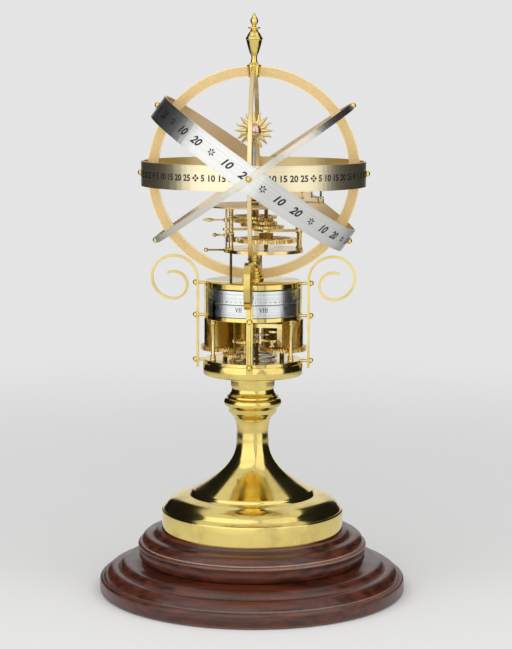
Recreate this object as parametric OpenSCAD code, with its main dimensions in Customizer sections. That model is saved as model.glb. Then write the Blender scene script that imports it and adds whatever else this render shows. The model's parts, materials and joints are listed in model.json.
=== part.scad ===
// Orrery clock: a turned wooden base and brass foot carry a drum with the movement
// and two turning chapter rings, and above it a skeleton sphere of rings and bands
// round a small geared planetarium. Millimetres, +Z up, origin at the middle of the
// underside. The four scroll brackets stand close to the X and Y axes.

/* [Wooden base] */
// Diameter of the lower wooden tier
plinth_d = 236; // [210:1:260]
// Height of the lower wooden tier
plinth_h = 23.9; // [22:0.1:30]
// Diameter of the upper wooden tier
step_d = 177; // [150:1:182]
// Height of the upper wooden tier
step_h = 23.3; // [21:0.1:30]
// Thickness of the felt that shows below the wood
felt_show = 0.8; // [0.4:0.1:2]

/* [Brass foot] */
// Diameter of the skirt of the trumpet foot
foot_d = 140; // [124:1:146]
// Height of the trumpet foot
foot_h = 86.6; // [78:0.1:100]
// Diameter of the narrowest part of the trumpet
neck_d = 24; // [20:0.5:30]
// Wall of the spun brass
foot_wall = 2; // [1.2:0.1:2.6]
// Largest diameter of the turned knop
knop_d = 44.4; // [40:0.2:52]
// Height of the turned knop
knop_h = 34; // [30:0.1:40]
// Diameter of the steel tie rod
rod_d = 8; // [5:0.5:9]

/* [Drum] */
// Diameter of the solid disc under the movement
disc_d = 76.4; // [75:0.2:80]
// Thickness of that disc
disc_h = 9.4; // [8:0.1:14]
// Diameter of the three movement plates
plate_d = 73; // [72.6:0.1:74]
// Thickness of the lower plate
lower_plate_t = 2.4; // [2:0.1:3]
// Height between the lower and the middle plate
drum_gap = 31.9; // [31:0.1:36]
// Thickness of the middle plate
middle_plate_t = 2.9; // [2:0.1:4]
// Thickness of the top plate
top_plate_t = 4.1; // [3.6:0.1:6]
// Diameter of the drum pillars
pillar_d = 3; // [2.4:0.1:3.4]
// Radius of the circle that the pillars stand on
pillar_r = 34; // [33.6:0.1:34.4]

/* [Chapter rings] */
// Outer diameter of the hour ring and the minute ring
ring_d = 72.6; // [70:0.1:73]
// Height of the hour ring
hour_h = 9.3; // [9:0.1:14]
// Height of the minute ring
minute_h = 10.1; // [9:0.1:14]
// Wall of the chapter rings
ring_wall = 1.5; // [1:0.1:2.5]
// Running gap between the rings and next to the plates
ring_gap = 0.5; // [0.3:0.05:0.9]

/* [Scroll brackets] */
// Turn of the four brackets from the X and Y axes
bracket_turn = 2.5; // [0:0.1:5]
// Radius at the middle of the bracket strips
bracket_r = 42.5; // [42:0.1:46]
// Width of the strip
strip_w = 4.8; // [4:0.1:7]
// Thickness of the strip
strip_t = 1.7; // [1.2:0.1:2.2]
// Mean radius of the outer turn of the scroll
scroll_r = 16.5; // [14:0.1:20]
// Mean radius of the inner turn of the scroll
scroll_eye_r = 10.4; // [8:0.1:11]
// Diameter of the ball heads of the screws
ball_d = 4.6; // [3.6:0.1:5.4]
// Diameter of the screw shanks
shank_d = 1.6; // [1.2:0.1:2]

/* [Skeleton sphere] */
// Outer diameter of the meridian ring
meridian_d = 161.4; // [156:0.2:164]
// Width of the meridian ring seen from the side
meridian_w = 8; // [6:0.1:9]
// Thickness of the meridian ring
meridian_t = 3; // [2:0.1:4]
// Gap between the top plate and the meridian ring
ring_lift = 0.8; // [0.3:0.1:9]
// Turn of the sphere round the vertical axis
sphere_turn = 3.7; // [0:0.1:12]
// Gap between the meridian ring and the level band
equator_gap = 3; // [2:0.1:5]
// Height of the two broad bands
band_w = 18.6; // [12:0.2:19]
// Wall of the level band
equator_wall = 1.5; // [1:0.1:1.6]
// Gap between the level band and the broad slanting band
ecliptic_gap = 1.8; // [0.6:0.1:4]
// Wall of the slanting bands
band_wall = 1.2; // [0.8:0.1:1.3]
// Gap between the broad and the narrow slanting band
lunar_gap = 0.5; // [0.4:0.1:3]
// Width of the narrow slanting band
lunar_w = 4.8; // [4:0.2:9]
// Slope of the broad slanting band
ecliptic_tilt = 35; // [26:0.5:38]
// Slope of the narrow slanting band
lunar_tilt = 34.5; // [26:0.5:38]
// Height of the finial above the pole boss
finial_h = 40; // [36:0.5:50]

/* [Planetarium] */
// Height of the planetarium plate above the top plate
deck_rise = 22.9; // [20:0.1:26]
// Diameter of the planetarium plate
deck_d = 60; // [58:0.5:62]
// Thickness of the planetarium plate
deck_t = 2.5; // [1.6:0.1:3]
// Height from the planetarium plate to the planet table
cage_h = 31; // [30.6:0.1:34]
// Diameter of the planet table
table_d = 74; // [70:0.5:80]
// Diameter of the sun
sun_d = 12; // [8:0.2:16]
// Span of the sun's flames
sun_span = 30; // [22:0.5:36]
// Height of the sun above the planet table
sun_rise = 56; // [50:0.5:64]
// Radius of the earth's path
earth_path = 51; // [49:0.5:54]
// Radius of the moon's path round the earth
moon_path = 7; // [6:0.1:8]
// Radius of the path of venus
venus_path = 37; // [32:0.5:38]
// Radius of the path of mercury
mercury_path = 24; // [18:0.5:26]

/* [Hidden] */
$fn = 96;
e = 0.01;

// Running fits and clearances
fit = 0.05;
side_gap = 0.4;

// Heights of the main stations, one on top of the other
z_wood = felt_show;
z_step = z_wood + plinth_h;
z_foot = z_step + step_h;
z_knop = z_foot + foot_h;
z_disc = z_knop + knop_h;
z_lower = z_disc + disc_h;
z_floor = z_lower + lower_plate_t;
z_middle = z_floor + drum_gap;
z_dial = z_middle + middle_plate_t;
z_hour = z_dial + ring_gap;
z_minute = z_hour + hour_h + ring_gap;
z_top = z_minute + minute_h + 2 * ring_gap;
z_column = z_top + top_plate_t;
z_sphere = z_column + ring_lift + meridian_d / 2;
z_deck = z_column + deck_rise;
z_cage = z_deck + deck_t;
z_table = z_cage + cage_h;
table_t = 1.2;

// Tooth proportions and counts
mod_barrel = 0.7;
mod_train = 0.5;
mod_planet = 0.65;
barrel_teeth = 52;
centre_pinion_teeth = 12;
centre_teeth = 72;
small_pinion_teeth = 8;
third_teeth = 38;
fourth_teeth = 35;
escape_pinion_teeth = 7;
escape_teeth = 15;
cannon_teeth = 12;
minute_teeth = 48;
minute_pinion_teeth = 15;
hour_teeth = 45;
year_teeth = 64;
drive_teeth = 12;
earth_teeth = 53;
venus_teeth = 46;
mercury_teeth = 30;
earth_driver = 17;
venus_driver = 24;
mercury_driver = 40;

// Arbors of the going train, seen from above
barrel_reach = mod_barrel * (barrel_teeth + centre_pinion_teeth) / 2;
barrel_lift = 11.6;
barrel_pos = [barrel_reach * cos(barrel_lift), barrel_reach * sin(barrel_lift)];
third_line = -128;
third_pos = polar(mod_train * (centre_teeth + small_pinion_teeth) / 2, third_line);
fourth_pos = polar(25.4, -98.1);
escape_line = 35;
escape_pos = fourth_pos + polar(mod_train * (fourth_teeth + escape_pinion_teeth) / 2, escape_line);
lever_line = -5;
lever_reach = 5.6;
balance_reach = 13.2;
pallet_pos = escape_pos + polar(lever_reach, lever_line);
balance_pos = escape_pos + polar(balance_reach, lever_line);
stud_line = 60;
stud_pos = polar(mod_train * (cannon_teeth + minute_teeth) / 2, stud_line);

// Arbors of the planetarium, seen from above
cluster_line = -59.3;
drive_line = 178.5;
cluster_pos = polar(mod_planet * (earth_teeth + earth_driver) / 2, cluster_line);
drive_pos = cluster_pos + polar(mod_barrel * (year_teeth + drive_teeth) / 2, drive_line);
deck_pos = [8.7, -11.1];
nut_pillar_pos = [36.0, -8.3];
left_pillar_pos = [-20.0, -7.0];
cage_pillar_pos = [[-13.9, -27.3], [34.6, -2.4]];

// Arbor sizes
arbor_r = 1;
pivot_r = 0.7;
barrel_arbor_r = 1.8;
centre_r = 1.5;
barrel_r = 16.2;

// Coaxial planet tubes round the fixed post
post_r = 1.2;
tube_wall = 0.8;
tube_gap = 0.08;
function tube_in(n) = post_r + tube_gap + n * (tube_wall + tube_gap);
function tube_out(n) = tube_in(n) + tube_wall;

// Turned shapes
function polar(r, a) = [r * cos(a), r * sin(a)];
function arc(c, r, a0, a1, n = 8) = [for (i = [0:n]) c + polar(r, a0 + (a1 - a0) * i / n)];
function quarter(c, rx, rz, a0, a1, n = 8) =
    [for (i = [0:n]) [c[0] + rx * cos(a0 + (a1 - a0) * i / n), c[1] + rz * sin(a0 + (a1 - a0) * i / n)]];

module turned(points) {
    rotate_extrude() polygon(points);
}

module disc(r, h, z = 0) {
    translate([0, 0, z]) cylinder(r = r, h = h);
}

module tube(r_out, r_in, h, z = 0) {
    translate([0, 0, z]) rotate_extrude() translate([r_in, 0]) square([r_out - r_in, h]);
}

module at(p, z = 0) {
    translate([p[0], p[1], z]) children();
}

module bar(p, q, w) {
    d = q - p;
    translate(p) rotate(atan2(d[1], d[0])) translate([0, -w / 2]) square([norm(d), w]);
}

// Toothed wheels: straight-sided teeth with room to run
function tooth_share(n) = n < 20 ? 0.36 : 0.42;

module teeth2d(n, m, turn = 0) {
    r = m * n / 2;
    step = 360 / n;
    root = r - 1.1 * m;
    tip = r + 0.8 * m;
    wide = step * tooth_share(n);
    slim = wide * 0.5;
    polygon([for (i = [0:n - 1], k = [0:3])
        polar([root, tip, tip, root][k],
            turn + i * step + [-wide * 0.62, -slim / 2, slim / 2, wide * 0.62][k])]);
}

module crossed2d(rim, hub, arms, w) {
    difference() {
        circle(r = rim);
        circle(r = hub);
        for (i = [0:arms - 1]) rotate(i * 360 / arms + 15) translate([0, -w / 2]) square([rim + 1, w]);
    }
}

module wheel(n, m, h, z, bore, hub, arms = 5, turn = 0) {
    rim = m * n / 2 - 1.1 * m - max(1.2, m * n * 0.06);
    translate([0, 0, z]) linear_extrude(h) difference() {
        teeth2d(n, m, turn);
        if (rim > hub + 1.5) crossed2d(rim, hub, arms, 1.6);
        if (bore > 0) circle(r = bore, $fn = 48);
    }
}

module pinion(n, m, h, z, bore = 0, turn = 0) {
    translate([0, 0, z]) linear_extrude(h) difference() {
        teeth2d(n, m, turn);
        if (bore > 0) circle(r = bore, $fn = 48);
    }
}

module radial(a) {
    rotate([0, 0, a]) rotate([0, 90, 0]) children();
}

// Wooden base
tie_r = rod_d / 2;
tie_hole_r = tie_r + 0.3;
nut_r = tie_r + 3.2;
nut_h = 5;
washer_r = nut_r + 2;
washer_t = 1.6;
nut_well_r = washer_r + 0.8;
felt_deep = 1.2;
felt_inset = 3;
z_rod = z_wood + 3;
z_nut_seat = z_rod + nut_h + washer_t + 1;
edge_h = 8.4;
ovolo_low = z_wood + edge_h + 2.2;
ovolo_top = z_step - 6.3;
foot_seat = foot_d / 2 + 4;
plinth_k = (plinth_d - step_d) / 59;
step_k = (step_d / 2 - foot_seat) / 14.5;

module felt_pad() {
    color("darkgreen") disc(plinth_d / 2 - felt_inset, felt_show + felt_deep);
}

module wood_plinth() {
    r = plinth_d / 2;
    k = plinth_k;
    color("saddlebrown") difference() {
        turned(concat(
            [[0, z_wood], [r - 1, z_wood], [r, z_wood + 1]],
            quarter([r - 2.4 * k, z_wood + edge_h], 2.4 * k, 2.4, 0, 75, 5),
            [[r - 4.0 * k, ovolo_low]],
            quarter([r - 13.6 * k, ovolo_low], 9.2 * k, ovolo_top - ovolo_low, 5, 90, 8),
            [[r - 14.0 * k, ovolo_top], [r - 14.4 * k, ovolo_top + 0.3], [r - 15.0 * k, ovolo_top + 0.7]],
            quarter([r - 23.0 * k, ovolo_top + 0.7], 7.4 * k, 4.1, 0, 90, 6),
            [[r - 29.6 * k, z_step - 1.4], [r - 31.6 * k, z_step], [0, z_step]]));
        disc(plinth_d / 2 - felt_inset, felt_deep + e, z_wood - e);
        disc(tie_hole_r, plinth_h + 2, z_wood - 1);
        disc(nut_well_r, z_nut_seat - z_wood + 1, z_wood - 1);
    }
}

module wood_step() {
    r = step_d / 2;
    k = step_k;
    torus_low = z_step + 13.4;
    torus_top = z_foot - 3.7;
    color("saddlebrown") difference() {
        turned(concat(
            [[0, z_step], [r - 3.4 * k, z_step], [r - k, z_step + 2.4], [r - 0.5 * k, z_step + 10.7]],
            quarter([r - 2.1 * k, z_step + 11.3], 2 * k, 2, 0, 70, 4),
            [[r - 2.4 * k, torus_low - 0.1]],
            quarter([r - 9.5 * k, torus_low], 7 * k, torus_top - torus_low, 0, 90, 8),
            [[r - 12.5 * k, z_foot - 3.0], [r - 13.1 * k, z_foot - 2.2], [r - 14.3 * k, z_foot - 1.8],
             [foot_seat, z_foot - 0.8], [foot_seat - 0.8, z_foot], [0, z_foot]]));
        disc(tie_hole_r, step_h + 2, z_step - 1);
    }
}

// Brass foot, knop and tie rod
skirt_h = 14.6;
ring_r = foot_d / 2;
waist_r = neck_d / 2;
dome_h = 14.6;
function foot_curve() = concat(
    [[ring_r, z_foot], [ring_r, z_foot + skirt_h]],
    arc([ring_r - 1.4, z_foot + skirt_h], 1.4, 15, 90, 4),
    quarter([ring_r - 24.6, z_foot + skirt_h + 1.8], 21.4, dome_h - 3.6, 12, 84, 8),
    [[ring_r - 23.0, z_foot + 29.0], [ring_r - 23.6, z_foot + 30.2]],
    [for (i = [0:12]) let (t = i / 12)
        [waist_r + 0.4 + (ring_r - 24.8 - waist_r) * pow(1 - t, 2.55),
         z_foot + 30.6 + (foot_h - 34 - 30.6) * pow(t, 0.9) + 18 * t]],
    [[waist_r, z_knop - 10], [waist_r + 0.7, z_knop - 5], [waist_r + 1.4, z_knop - 2.2],
     [waist_r + 2.4, z_knop]]);

module brass_foot() {
    outer = foot_curve();
    inner = [for (i = [len(outer) - 1:-1:0])
        [outer[i][0] - foot_wall,
         i == 0 ? z_foot : i == len(outer) - 1 ? z_knop : outer[i][1] - foot_wall * 0.8]];
    color("gold") turned(concat(outer, inner));
}

module foot_knop() {
    r = knop_d / 2;
    z0 = z_knop;
    color("gold") difference() {
        turned(concat(
            [[0, z0], [waist_r + 2.4, z0], [r - 7.4, z0 + 0.8], [r - 5.2, z0 + 3.0], [r - 3.8, z0 + 4.6],
             [r - 3.8, z0 + 7.2], [r - 3.2, z0 + 8.0]],
            quarter([r - 3.0, z0 + 12.2], 3.0, 3.6, -80, 80, 10),
            [[r - 3.2, z0 + 16.2]],
            quarter([r + 0.2, z0 + 22.6], 6.2, 6.0, 245, 180, 8),
            [[r - 6.0, z0 + 23.6], [r - 5.4, z0 + 24.4], [r - 5.2, z0 + 28.4]],
            quarter([r - 1.4, z0 + 28.6], 3.8, 4.6, 180, 120, 6),
            [[r - 3.2, z0 + knop_h], [0, z0 + knop_h]]));
        disc(tie_hole_r, knop_h + 2, z0 - 1);
    }
}

z_top_seat = z_lower - nut_h - washer_t - 0.6;

module clamp_rod() {
    color("silver") disc(tie_r, z_lower - 0.4 - z_rod, z_rod);
}

module clamp_nuts() {
    color("silver") {
        translate([0, 0, z_nut_seat - nut_h - washer_t]) difference() {
            cylinder(r = nut_r, h = nut_h, $fn = 6);
            disc(tie_r, nut_h + 2, -1);
        }
        tube(washer_r, tie_r, washer_t, z_nut_seat - washer_t);
        tube(washer_r, tie_r, washer_t, z_top_seat);
        translate([0, 0, z_top_seat + washer_t]) difference() {
            cylinder(r = nut_r, h = nut_h, $fn = 6);
            disc(tie_r, nut_h + 2, -1);
        }
    }
}

// Drum
disc_r = disc_d / 2;
plate_r = plate_d / 2;
lower_plate_r = plate_r + 0.3;
spacer_r = 1.15;
screw_z = [z_lower + lower_plate_t / 2, z_middle + middle_plate_t / 2, z_top + top_plate_t / 2];
seat_r = [lower_plate_r, plate_r, plate_r];
bracket_in = bracket_r - strip_t / 2;
bracket_out = bracket_r + strip_t / 2;
thread_deep = 5;
bracket_angles = [for (i = [0:3]) bracket_turn + 90 * i];
pillar_angles = [-147, -27, 93];
pillar_foot_d = 4.6;

module screw_holes(level) {
    for (a = bracket_angles) translate([0, 0, screw_z[level]]) radial(a)
        translate([0, 0, seat_r[level] - thread_deep]) cylinder(d = shank_d, h = thread_deep + 2, $fn = 32);
}

module winding_holes(z, h, r) {
    for (s = [-1, 1]) at([s * barrel_pos[0], barrel_pos[1]], z) cylinder(r = r, h = h, $fn = 48);
}

module drum_base() {
    lip = 0.8;
    color("gold") difference() {
        turned([[0, z_disc], [disc_r - lip, z_disc], [disc_r, z_disc + lip], [disc_r, z_lower - lip],
                [disc_r - lip, z_lower], [0, z_lower]]);
        disc(tie_hole_r, disc_h + 2, z_disc - 1);
        disc(nut_well_r, disc_h, z_top_seat);
        winding_holes(z_disc - 1, disc_h + 2, key_room_r);
    }
}

key_room_r = 4.2;

module lower_plate() {
    color("gold") difference() {
        disc(lower_plate_r, lower_plate_t, z_lower);
        screw_holes(0);
        winding_holes(z_lower - 1, lower_plate_t + 2, barrel_arbor_r + fit);
        translate([0, 0, z_lower - 1]) cylinder(r = pivot_r + fit, h = lower_plate_t + 2, $fn = 32);
        for (p = [third_pos, fourth_pos, escape_pos])
            at(p, z_lower - 1) cylinder(r = pivot_r + fit, h = lower_plate_t + 2, $fn = 32);
    }
}

module drum_pillars() {
    r = pillar_d / 2;
    f = pillar_foot_d / 2;
    color("gold") for (a = pillar_angles) at(polar(pillar_r, a))
        turned([[0, z_floor], [f, z_floor], [f, z_floor + 1.6], [f - 0.6, z_floor + 2.2],
                [f, z_floor + 2.8], [f, z_floor + 3.6], [r, z_floor + 4.6], [r, z_middle - 4.6],
                [f, z_middle - 3.6], [f, z_middle - 2.4], [f - 0.6, z_middle - 1.8], [f, z_middle - 1.2],
                [f, z_middle], [0, z_middle]]);
}

stud_r = 1.2;
stud_h = 6.4;

module middle_plate() {
    color("gold") {
        difference() {
            union() {
                disc(plate_r, middle_plate_t, z_middle);
                at(stud_pos, z_dial - e) cylinder(r = stud_r, h = stud_h + e, $fn = 48);
            }
            translate([0, 0, z_middle - 1]) cylinder(r = centre_r + fit, h = middle_plate_t + 2, $fn = 48);
            for (p = [third_pos, fourth_pos])
                at(p, z_middle - 1) cylinder(r = pivot_r + fit, h = middle_plate_t + 2, $fn = 32);
            winding_holes(z_middle - 1, middle_plate_t + 2, pivot_r + fit);
            screw_holes(1);
        }
    }
}

module top_plate() {
    lip = 0.5;
    color("gold") difference() {
        turned([[0, z_top], [plate_r, z_top], [plate_r, z_column - lip], [plate_r - lip, z_column],
                [0, z_column]]);
        at(drive_pos, z_top - 1) cylinder(r = arbor_r + fit, h = top_plate_t + 2, $fn = 32);
        screw_holes(2);
    }
}

// Scroll brackets, their spacers and all ball-headed screws
bracket_foot = 5;
scroll_x = bracket_r + scroll_r + 2;
scroll_z = z_column + 1.9;
shoulder_r = scroll_r + 2;
eye_end = 64;

module arc_strip(cz, r, a0, a1) {
    translate([scroll_x, 0, cz]) rotate([90, 0, 0]) rotate([0, 0, a0])
        rotate_extrude(angle = a1 - a0) translate([r - strip_t / 2, -strip_w / 2]) square([strip_t, strip_w]);
}

module bracket() {
    z0 = z_disc + bracket_foot;
    difference() {
        union() {
            translate([bracket_in, -strip_w / 2, z0]) cube([strip_t, strip_w, scroll_z - 2 - z0]);
            arc_strip(scroll_z - 2, shoulder_r, 90, 180);
            arc_strip(scroll_z, scroll_r, -90, 90);
            arc_strip(scroll_z - scroll_r + scroll_eye_r, scroll_eye_r, eye_end, 270);
        }
        for (z = screw_z) translate([bracket_in - 1, 0, z]) rotate([0, 90, 0])
            cylinder(d = shank_d + 2 * fit, h = strip_t + 2, $fn = 32);
    }
}

module scroll_brackets() {
    color("khaki") for (a = bracket_angles) rotate([0, 0, a]) bracket();
}

module bracket_spacers() {
    color("gold") for (a = bracket_angles, i = [0:2]) translate([0, 0, screw_z[i]]) radial(a)
        tube(spacer_r, shank_d / 2, bracket_in - seat_r[i], seat_r[i]);
}

// Screw along +Z with its domed head seated on the level z = 0
module ball_screw(grip, head = ball_d) {
    seat = head * 0.14;
    translate([0, 0, -grip]) cylinder(d = shank_d, h = grip + seat, $fn = 32);
    difference() {
        translate([0, 0, seat]) sphere(d = head, $fn = 48);
        translate([-head, -head, -2 * head]) cube(2 * head);
    }
}

module ball_screws() {
    color("gold") {
        for (a = bracket_angles, i = [0:2]) translate([0, 0, screw_z[i]]) radial(a)
            translate([0, 0, bracket_out]) ball_screw(bracket_out - seat_r[i] + thread_deep - 0.5);
        in_sphere() {
            for (k = crossings) crossing_frame(k) translate([0, 0, k[2]]) ball_screw(k[2] - rim_r + 3);
        }
    }
}

guard_t = 0.9;
guard_w = 2.4;
guard_angles = [8, 188];

module ring_guards() {
    color("gold") for (a = guard_angles) rotate([0, 0, a])
        translate([plate_r, -guard_w / 2, z_middle]) cube([guard_t, guard_w, z_top - z_middle + 1.2]);
}

pointer_angle = -137.5;
pointer_t = 0.6;

module time_pointer() {
    tip_z = z_minute + 2.2;
    color("midnightblue") rotate([0, 0, pointer_angle]) translate([plate_r, 0, 0]) rotate([90, 0, 90])
        linear_extrude(pointer_t) polygon([[-1.3, z_middle + 0.3], [1.3, z_middle + 0.3], [1.3, z_dial],
            [0.8, z_hour + 2], [1.7, z_hour + hour_h * 0.7], [0, tip_z], [-1.7, z_hour + hour_h * 0.7],
            [-0.8, z_hour + 2], [-1.3, z_dial]]);
}

// Column under the sphere
rim_r = meridian_d / 2;
rim_in = rim_r - meridian_w;
column_r = 8.2;

module ring_cross(clear = 0) {
    h = meridian_t / 2 + clear;
    for (a = [0, 90]) rotate([0, 0, a]) rotate([90, 0, 0]) translate([0, 0, -h])
        rotate_extrude() translate([rim_in - clear, 0]) square([meridian_w + 2 * clear, 2 * h]);
}

module column() {
    z0 = z_column;
    z1 = z_deck;
    color("gold") difference() {
        turned(concat(
            [[0, z0], [column_r, z0]],
            arc([column_r - 1.0, z0 + 1.2], 1.2, -60, 70, 5),
            arc([column_r - 1.3, z0 + 3.9], 1.2, -70, 70, 5),
            arc([column_r - 1.8, z0 + 6.5], 1.1, -70, 70, 5),
            arc([column_r - 2.6, z0 + 8.9], 1.0, -70, 70, 5),
            [[column_r - 3.2, z0 + 10.6], [3.6, z0 + 12.4], [3.4, z0 + 14.2], [4.4, z0 + 15.4],
             [4.4, z0 + 16.4], [3.7, z0 + 17.2], [4.2, z1 - 3.4], [6.6, z1 - 1.6], [6.6, z1], [0, z1]]));
        translate([0, 0, z_sphere]) rotate([0, 0, sphere_turn]) ring_cross();
    }
}

// Skeleton sphere. Children of in_sphere stand round the middle of the sphere.
module in_sphere() {
    translate([0, 0, z_sphere]) rotate([0, 0, sphere_turn]) children();
}

// Radii of the bands, each outside the one before
equator_in = rim_r + equator_gap;
equator_r = equator_in + equator_wall;
ecliptic_in = equator_r + ecliptic_gap;
ecliptic_r = ecliptic_in + band_wall;
lunar_in = ecliptic_r + lunar_gap;
lunar_r = lunar_in + band_wall;

// Places where the bands are screwed: plan angle, slope and the radius of the head's seat
crossings = [
    [0, 0, equator_r], [180, 0, equator_r],
    [90, 0, lunar_r], [270, 0, lunar_r],
    [180, ecliptic_tilt, ecliptic_r], [0, -ecliptic_tilt, ecliptic_r],
    [0, lunar_tilt, lunar_r], [180, -lunar_tilt, lunar_r]];

module crossing_frame(k) {
    rotate([0, 0, k[0]]) rotate([0, 90 - k[1], 0]) children();
}

module band(r_out, r_in, w, tilt, holes) {
    in_sphere() difference() {
        rotate([0, tilt, 0]) tube(r_out, r_in, w, -w / 2);
        for (k = holes) crossing_frame(k) cylinder(d = shank_d, h = r_out + 1, $fn = 32);
    }
}

module meridian_ring() {
    color("goldenrod") in_sphere() difference() {
        rotate([90, 0, 0]) tube(rim_r, rim_in, meridian_t, -meridian_t / 2);
        for (k = crossings) if (k[0] % 180 == 0) crossing_frame(k)
            translate([0, 0, rim_r - 3]) cylinder(d = shank_d, h = 6, $fn = 32);
    }
}

module colure_ring() {
    color("goldenrod") in_sphere() difference() {
        rotate([0, 90, 0]) tube(rim_r, rim_in, meridian_t, -meridian_t / 2);
        translate([-meridian_t, -meridian_t / 2, -rim_r - 1])
            cube([2 * meridian_t, meridian_t, 2 * rim_r + 2]);
        for (k = crossings) if (k[0] % 180 != 0) crossing_frame(k)
            translate([0, 0, rim_r - 3]) cylinder(d = shank_d, h = 6, $fn = 32);
    }
}

module equator_band() {
    color("khaki") band(equator_r, equator_in, band_w, 0, [for (i = [0:3]) crossings[i]]);
}

module ecliptic_band() {
    color("silver") band(ecliptic_r, ecliptic_in, band_w, ecliptic_tilt, [for (i = [2:5]) crossings[i]]);
}

module lunar_band() {
    color("silver") band(lunar_r, lunar_in, lunar_w, -lunar_tilt, [for (i = [2, 3, 6, 7]) crossings[i]]);
}

band_spacer_r = 2;

module spacer_between(k, r0, r1) {
    crossing_frame(k) tube(band_spacer_r, shank_d / 2, r1 - r0, r0);
}

module band_spacers() {
    color("gold") in_sphere() difference() {
        union() {
            for (i = [0:3]) spacer_between(crossings[i], rim_r - 0.2, equator_in + 0.2);
            for (i = [2, 3]) spacer_between(crossings[i], equator_r - 0.2, ecliptic_in + 0.2);
            for (i = [2, 3]) spacer_between(crossings[i], ecliptic_r - 0.2, lunar_in + 0.2);
            for (i = [4, 5]) spacer_between(crossings[i], rim_r - 0.2, ecliptic_in + 0.2);
            for (i = [6, 7]) spacer_between(crossings[i], rim_r - 0.2, lunar_in + 0.2);
        }
        for (a = [0, 90]) rotate([0, 0, a]) rotate([90, 0, 0])
            tube(rim_r, rim_in, meridian_t + 8, -meridian_t / 2 - 4);
        tube(equator_r, equator_in, band_w, -band_w / 2);
        rotate([0, ecliptic_tilt, 0]) tube(ecliptic_r, ecliptic_in, band_w, -band_w / 2);
        rotate([0, -lunar_tilt, 0]) tube(lunar_r, lunar_in, lunar_w, -lunar_w / 2);
    }
}

z_pole = z_sphere + rim_r;
boss_r = 5.6;

module pole_boss() {
    z1 = z_pole - 0.4;
    color("gold") difference() {
        turned([[0, z1 - 8.2], [boss_r - 1.4, z1 - 8.2], [boss_r - 1.1, z1 - 7.2], [boss_r, z1], [0, z1]]);
        translate([0, 0, z_sphere]) rotate([0, 0, sphere_turn]) ring_cross();
    }
}

module finial() {
    z1 = z_pole - 0.4;
    outline = [[0, 0], [5.6, 0], [5.6, 0.7], [4.0, 1.8], [2.6, 3.0], [2.1, 6.0], [2.3, 8.0], [3.1, 9.2],
        [3.7, 11.0], [4.3, 13.0], [5.4, 16.7], [6.0, 19.6], [6.5, 20.3], [6.5, 21.0], [6.0, 21.7],
        [5.1, 23.2], [4.3, 24.7], [3.1, 26.2], [2.4, 27.4], [4.4, 28.1], [4.7, 28.7], [4.4, 29.1],
        [1.6, 29.9], [1.2, 30.5], [2.4, 31.8], [3.0, 33.3], [2.9, 34.8], [2.0, 36.3], [1.0, 38.3], [0, 40]];
    color("gold") difference() {
        turned([for (p = outline) [p[0], z1 + p[1] * finial_h / 40]]);
        translate([0, 0, z_sphere]) rotate([0, 0, sphere_turn]) ring_cross();
    }
}

// Going train, levels above the floor of the drum
z_centre_wheel = z_floor + 1.2;
z_third_wheel = z_floor + 3.8;
z_great = z_floor + 6;
great_h = 3.7;
z_barrel = z_great + great_h;
barrel_h = 20.6;
barrel_wall = 1.2;
z_fourth = z_floor + 15.6;
z_escape = z_floor + 20.6;
z_lever = z_escape;
z_balance = z_floor + 23.2;
z_platform = z_floor + 27.1;
platform_t = 3;
wheel_t = 1.6;

// Turn that puts a tooth space opposite a tooth, and the same for a barrel and the centre pinion
function facing(n) = 180 / n;
function mesh_turn(s) = facing(barrel_teeth) + (s > 0 ? 180 + barrel_lift
    : -barrel_lift + (180 - 2 * barrel_lift) * centre_pinion_teeth / barrel_teeth);

module barrel(s) {
    at([s * barrel_pos[0], barrel_pos[1]]) difference() {
        union() {
            pinion(barrel_teeth, mod_barrel, great_h, z_great, 0, mesh_turn(s));
            disc(barrel_r, barrel_h, z_barrel);
        }
        disc(barrel_r - barrel_wall, great_h + barrel_h - 2.4, z_great + 1.2);
        disc(barrel_arbor_r + fit, great_h + barrel_h + 2, z_great - 1);
    }
}

module barrel_left() {
    color("gold") barrel(-1);
}

module barrel_right() {
    color("gold") barrel(1);
}

// Coiled mainspring as the flat ring that its packed turns fill
module mainspring(s) {
    at([s * barrel_pos[0], barrel_pos[1]])
        tube(barrel_r - barrel_wall, barrel_r * 0.62, great_h + barrel_h - 3.4, z_great + 1.7);
}

module mainspring_left() {
    color("slategray") mainspring(-1);
}

module mainspring_right() {
    color("slategray") mainspring(1);
}

module winding_arbor(s) {
    key_w = 2.2;
    at([s * barrel_pos[0], barrel_pos[1]]) {
        translate([-key_w / 2, -key_w / 2, z_disc + 1.5]) cube([key_w, key_w, z_lower - 0.5 - z_disc - 1.5]);
        disc(barrel_arbor_r, z_middle - side_gap - z_lower + 0.5, z_lower - 0.5);
        disc(pivot_r, middle_plate_t, z_middle - side_gap);
    }
}

module winding_arbor_left() {
    color("silver") winding_arbor(-1);
}

module winding_arbor_right() {
    color("silver") winding_arbor(1);
}

centre_top = z_minute + 3.6;

module centre_arbor() {
    color("silver") {
        disc(pivot_r, lower_plate_t + 0.3, z_lower + 0.2);
        disc(centre_r, centre_top - z_floor - 0.4, z_floor + 0.4);
        pinion(centre_pinion_teeth, mod_barrel, great_h - 0.4, z_great + 0.2, 0, barrel_lift);
        wheel(centre_teeth, mod_train, wheel_t, z_centre_wheel, 0, 5, 5, third_line);
        disc(2.6, z_great - z_centre_wheel - wheel_t + 0.4, z_centre_wheel + wheel_t - e);
        pinion(cannon_teeth, mod_train, 2.6, z_dial + 0.4, 0, stud_line);
    }
}

module train_arbor(z0, z1) {
    disc(arbor_r, z1 - z0, z0);
    disc(pivot_r, z1 - z0 + 3, z0 - 1.5);
}

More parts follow.
